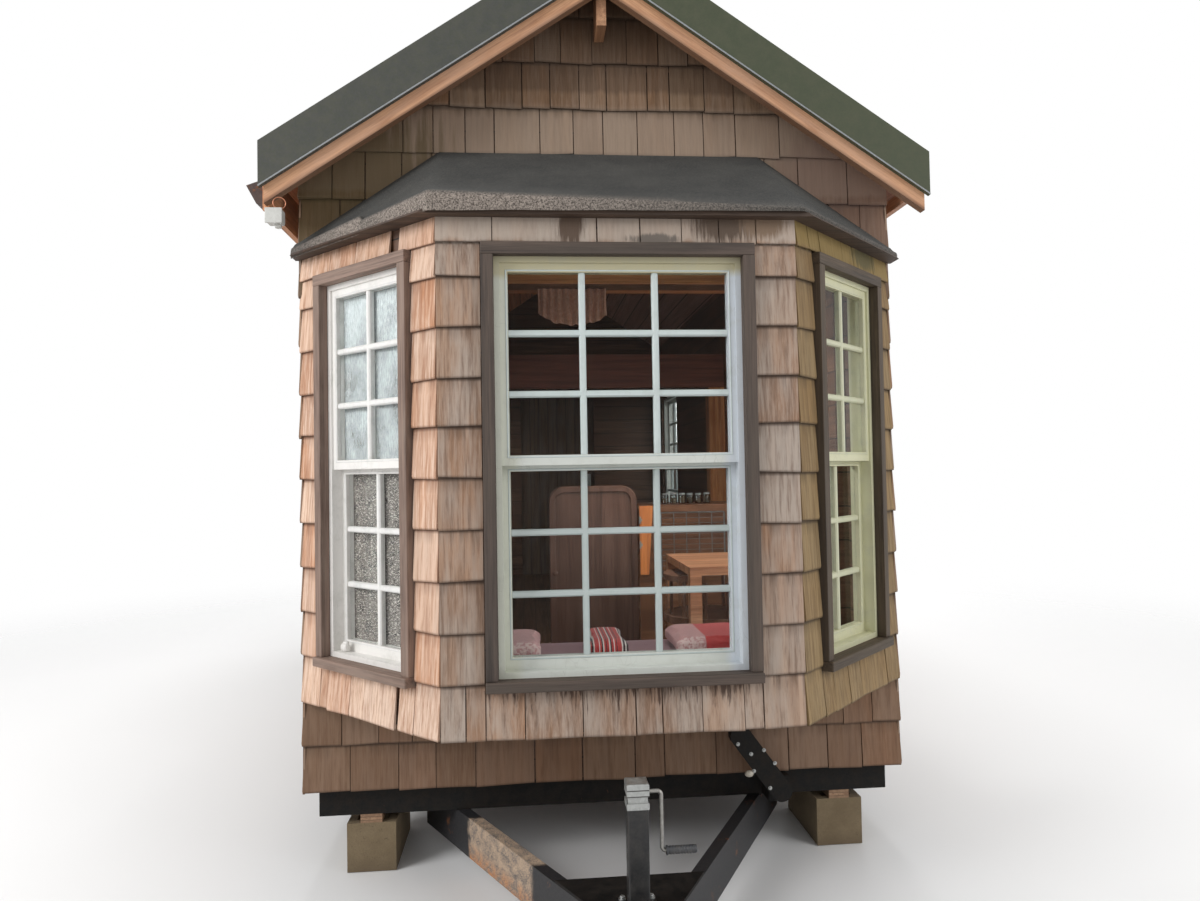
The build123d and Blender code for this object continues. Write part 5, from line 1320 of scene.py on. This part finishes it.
dry_goods = mottled("dry_goods", (0.42, 0.24, 0.11), (0.15, 0.07, 0.035), (0.7, 0.9), 220, 1.0, 0.1)
joined(fillings, "jar_fillings", dry_goods, "casing_wood")
joined(lids, "jar_lids", bright_zinc, "zinc")


# The window seat has a long boxed cushion under three pillows: a dusty pink one, a narrow striped one, and a
# red one with a pink end. All are woven cotton, filled and a little creased at the edges.
@effect(Vector=(0, 0, 0), Threads=700.0)
def weave(place, threads):
    """Threads both ways, and slubs."""
    warp, weft = (place.into("TexWave", {"Vector": place, "Scale": threads, "Distortion": 0.6}, "Fac",
                             wave_type="BANDS", bands_direction=axis) for axis in ("X", "Y"))
    return {"Thread": warp.reckon("MAXIMUM", weft), "Slub": place.noise(90, 4, 0.65)}


def cotton(name, tint, shade, bands=None, split=None, lace=None):
    """Woven cotton: bands across X, a second colour left of a place or a laced front edge, where given."""
    finish = Finish(name)
    thread, slub = weave(finish.place, Threads=260)
    x, y, z = finish.place.parts()
    finish.color = slub.ramp(0.3, 0.7).mix(tint, shade)
    if split:
        where, other = split
        finish.coat(x.ramp(where - 0.002, where + 0.002, 1.0, 0.0), other)
    if bands:
        start, width, stripes = bands
        across = x.ramp(start, start + width)
        for low, high, stripe in stripes:
            finish.coat(across.reckon("GREATER_THAN", low) * across.reckon("LESS_THAN", high), stripe)
    if lace:
        front, right_end = lace
        picot = finish.place.noise(95, 2, 0.6).reckon("GREATER_THAN", 0.47)
        edge = y.ramp(front + 0.024, front + 0.027, 1.0, 0.0) * x.reckon("LESS_THAN", right_end)
        finish.coat(edge * picot, (0.80, 0.60, 0.57))
    finish.coat(thread.ramp(0.2, 0.9, 0.35, 0.0), darker(shade, 0.5))
    return finish.done(slub.ramp(0.3, 0.7, 0.8, 0.95), thread + slub, 0.4, 0.0008, Sheen_Weight=0.25)


def stuffed(source, voxel, swell, draw_in, material, slot, knife_edge):
    """A stuffed cover: the plain solid drawn in a little and given an even skin, then blown up as cloth."""
    piece = new_object(source + "_cover", nodes[source].data.copy())
    with all_of(piece):
        bpy.ops.mesh.remove_doubles(threshold=1e-5)

    def read(mesh=None):
        mesh = mesh or piece.data
        spots = np.empty(len(mesh.vertices) * 3)
        mesh.vertices.foreach_get("co", spots)
        return spots.reshape(-1, 3)

    def write(spots):
        piece.data.vertices.foreach_set("co", spots.ravel())
        piece.data.update()

    corners = read()
    low, high = corners.min(axis=0), corners.max(axis=0)
    middle, half = (low + high) / 2, (high - low) / 2
    write(middle + (corners - middle) * (half - draw_in) / half)
    modify(piece, "REMESH", mode="VOXEL", voxel_size=voxel)
    if knife_edge:
        spots = read()
        u, v = np.clip(np.abs((spots[:, :2] - middle[:2]) / half[:2]), 0, 1).T
        thin = 0.34 + 0.66 * np.sqrt(np.clip((1 - u ** 4) * (1 - v ** 4), 0, 1))
        shares = np.column_stack([1 - 0.02 * (1 - v ** 2), 1 - 0.02 * (1 - u ** 2), thin])
        write(middle + (spots - middle) * shares)
    rest = read()
    cloth = piece.modifiers.new("cover", "CLOTH")
    cloth.settings.use_pressure = True
    cloth.settings.uniform_pressure_force = 4
    cloth.settings.effector_weights.gravity = 0
    for step in range(1, 21):
        bpy.context.scene.frame_set(step)
    shift = read(piece.evaluated_get(bpy.context.evaluated_depsgraph_get()).to_mesh()) - rest
    piece.modifiers.remove(cloth)
    far = np.linalg.norm(shift, axis=1, keepdims=True)
    write(rest + shift * np.minimum(1, swell / np.maximum(far, 1e-9)))
    bpy.context.scene.frame_set(1)
    spots = read()
    spots[:, 2] = np.clip(spots[:, 2], low[2] + 0.0004, high[2])
    write(spots)
    modify(piece, "SUBSURF", levels=1, render_levels=1)
    bpy.ops.object.shade_smooth()
    settle(piece, source + "_cover", material, slot)
    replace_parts(piece, source)


seat_cotton = cotton("seat_cotton", (0.36, 0.205, 0.225), (0.26, 0.135, 0.155))
pink_cotton = cotton("pink_cotton", (0.72, 0.42, 0.41), (0.55, 0.29, 0.29), lace=(-2.632, 0.0))
red_cotton = cotton("red_cotton", (0.66, 0.065, 0.06), (0.45, 0.04, 0.04), split=(0.318, (0.62, 0.33, 0.32)),
                    lace=(-2.632, 0.315))
white, black = (0.78, 0.73, 0.68), (0.04, 0.03, 0.035)
striped_cotton = cotton("striped_cotton", (0.66, 0.07, 0.06), (0.48, 0.04, 0.04), bands=(-0.113, 0.156, (
    (0.00, 0.05, black), (0.05, 0.08, white), (0.11, 0.14, black), (0.14, 0.17, white), (0.27, 0.29, white),
    (0.33, 0.36, black), (0.36, 0.39, white), (0.43, 0.45, black), (0.50, 0.53, white), (0.53, 0.56, black),
    (0.61, 0.63, white), (0.67, 0.69, black), (0.79, 0.82, white), (0.82, 0.87, black), (0.87, 0.90, white),
    (0.90, 0.96, black), (0.96, 1.00, white))))
stuffed("seat_cushion", 0.011, 0.007, 0.007, seat_cotton, "cushion_fabric", False)
for name, material, slot in (("pillow_left", pink_cotton, "pillow_pink"),
                             ("pillow_center", striped_cotton, "pillow_stripe"),
                             ("pillow_right", red_cotton, "pillow_red")):
    stuffed(name, 0.006, 0.012, 0.005, material, slot, True)

# A short cloth is gathered along the head of the bay's opening and hangs there in uneven folds.
# It is thin woven cotton in one piece, held along its upper edge.
valance_left, valance_right, valance_y, valance_high, valance_low = -0.262, 0.020, -2.171, 2.3195, 2.168
folds, columns, rows = 9, 180, 22
lines = []
for i in range(columns + 1):
    t = i / columns
    hang = 1.0 - 0.30 * abs(2 * t - 1.05) ** 2.5 + 0.02 * math.sin(t * 31)
    line = []
    for j in range(rows + 1):
        s = j / rows
        deep = (0.0085 + 0.004 * s) * (0.85 + 0.15 * math.sin(t * 7 + 2.0))
        fold = deep * math.sin(t * folds * math.tau + 0.5 * math.sin(s * 2.2 + t * 5))
        y = valance_y + fold + 0.004 * math.sin(s * 5 + t * 3)
        x = valance_left + (valance_right - valance_left) * t + 0.0035 * math.sin(s * 3 + t * 11) * s
        line.append((x, y, valance_high - (valance_high - valance_low) * s * hang))
    lines.append(line)
valance = modify(new_object("valance_cloth", sheet_mesh("valance_cloth", lines)), "SOLIDIFY",
                 thickness=0.0012)
bpy.ops.object.shade_smooth()
settle(valance, "valance_cloth", cotton("valance_cotton", (0.66, 0.36, 0.25), (0.46, 0.22, 0.14)),
       "valance_cloth")
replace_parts(valance, "valance")
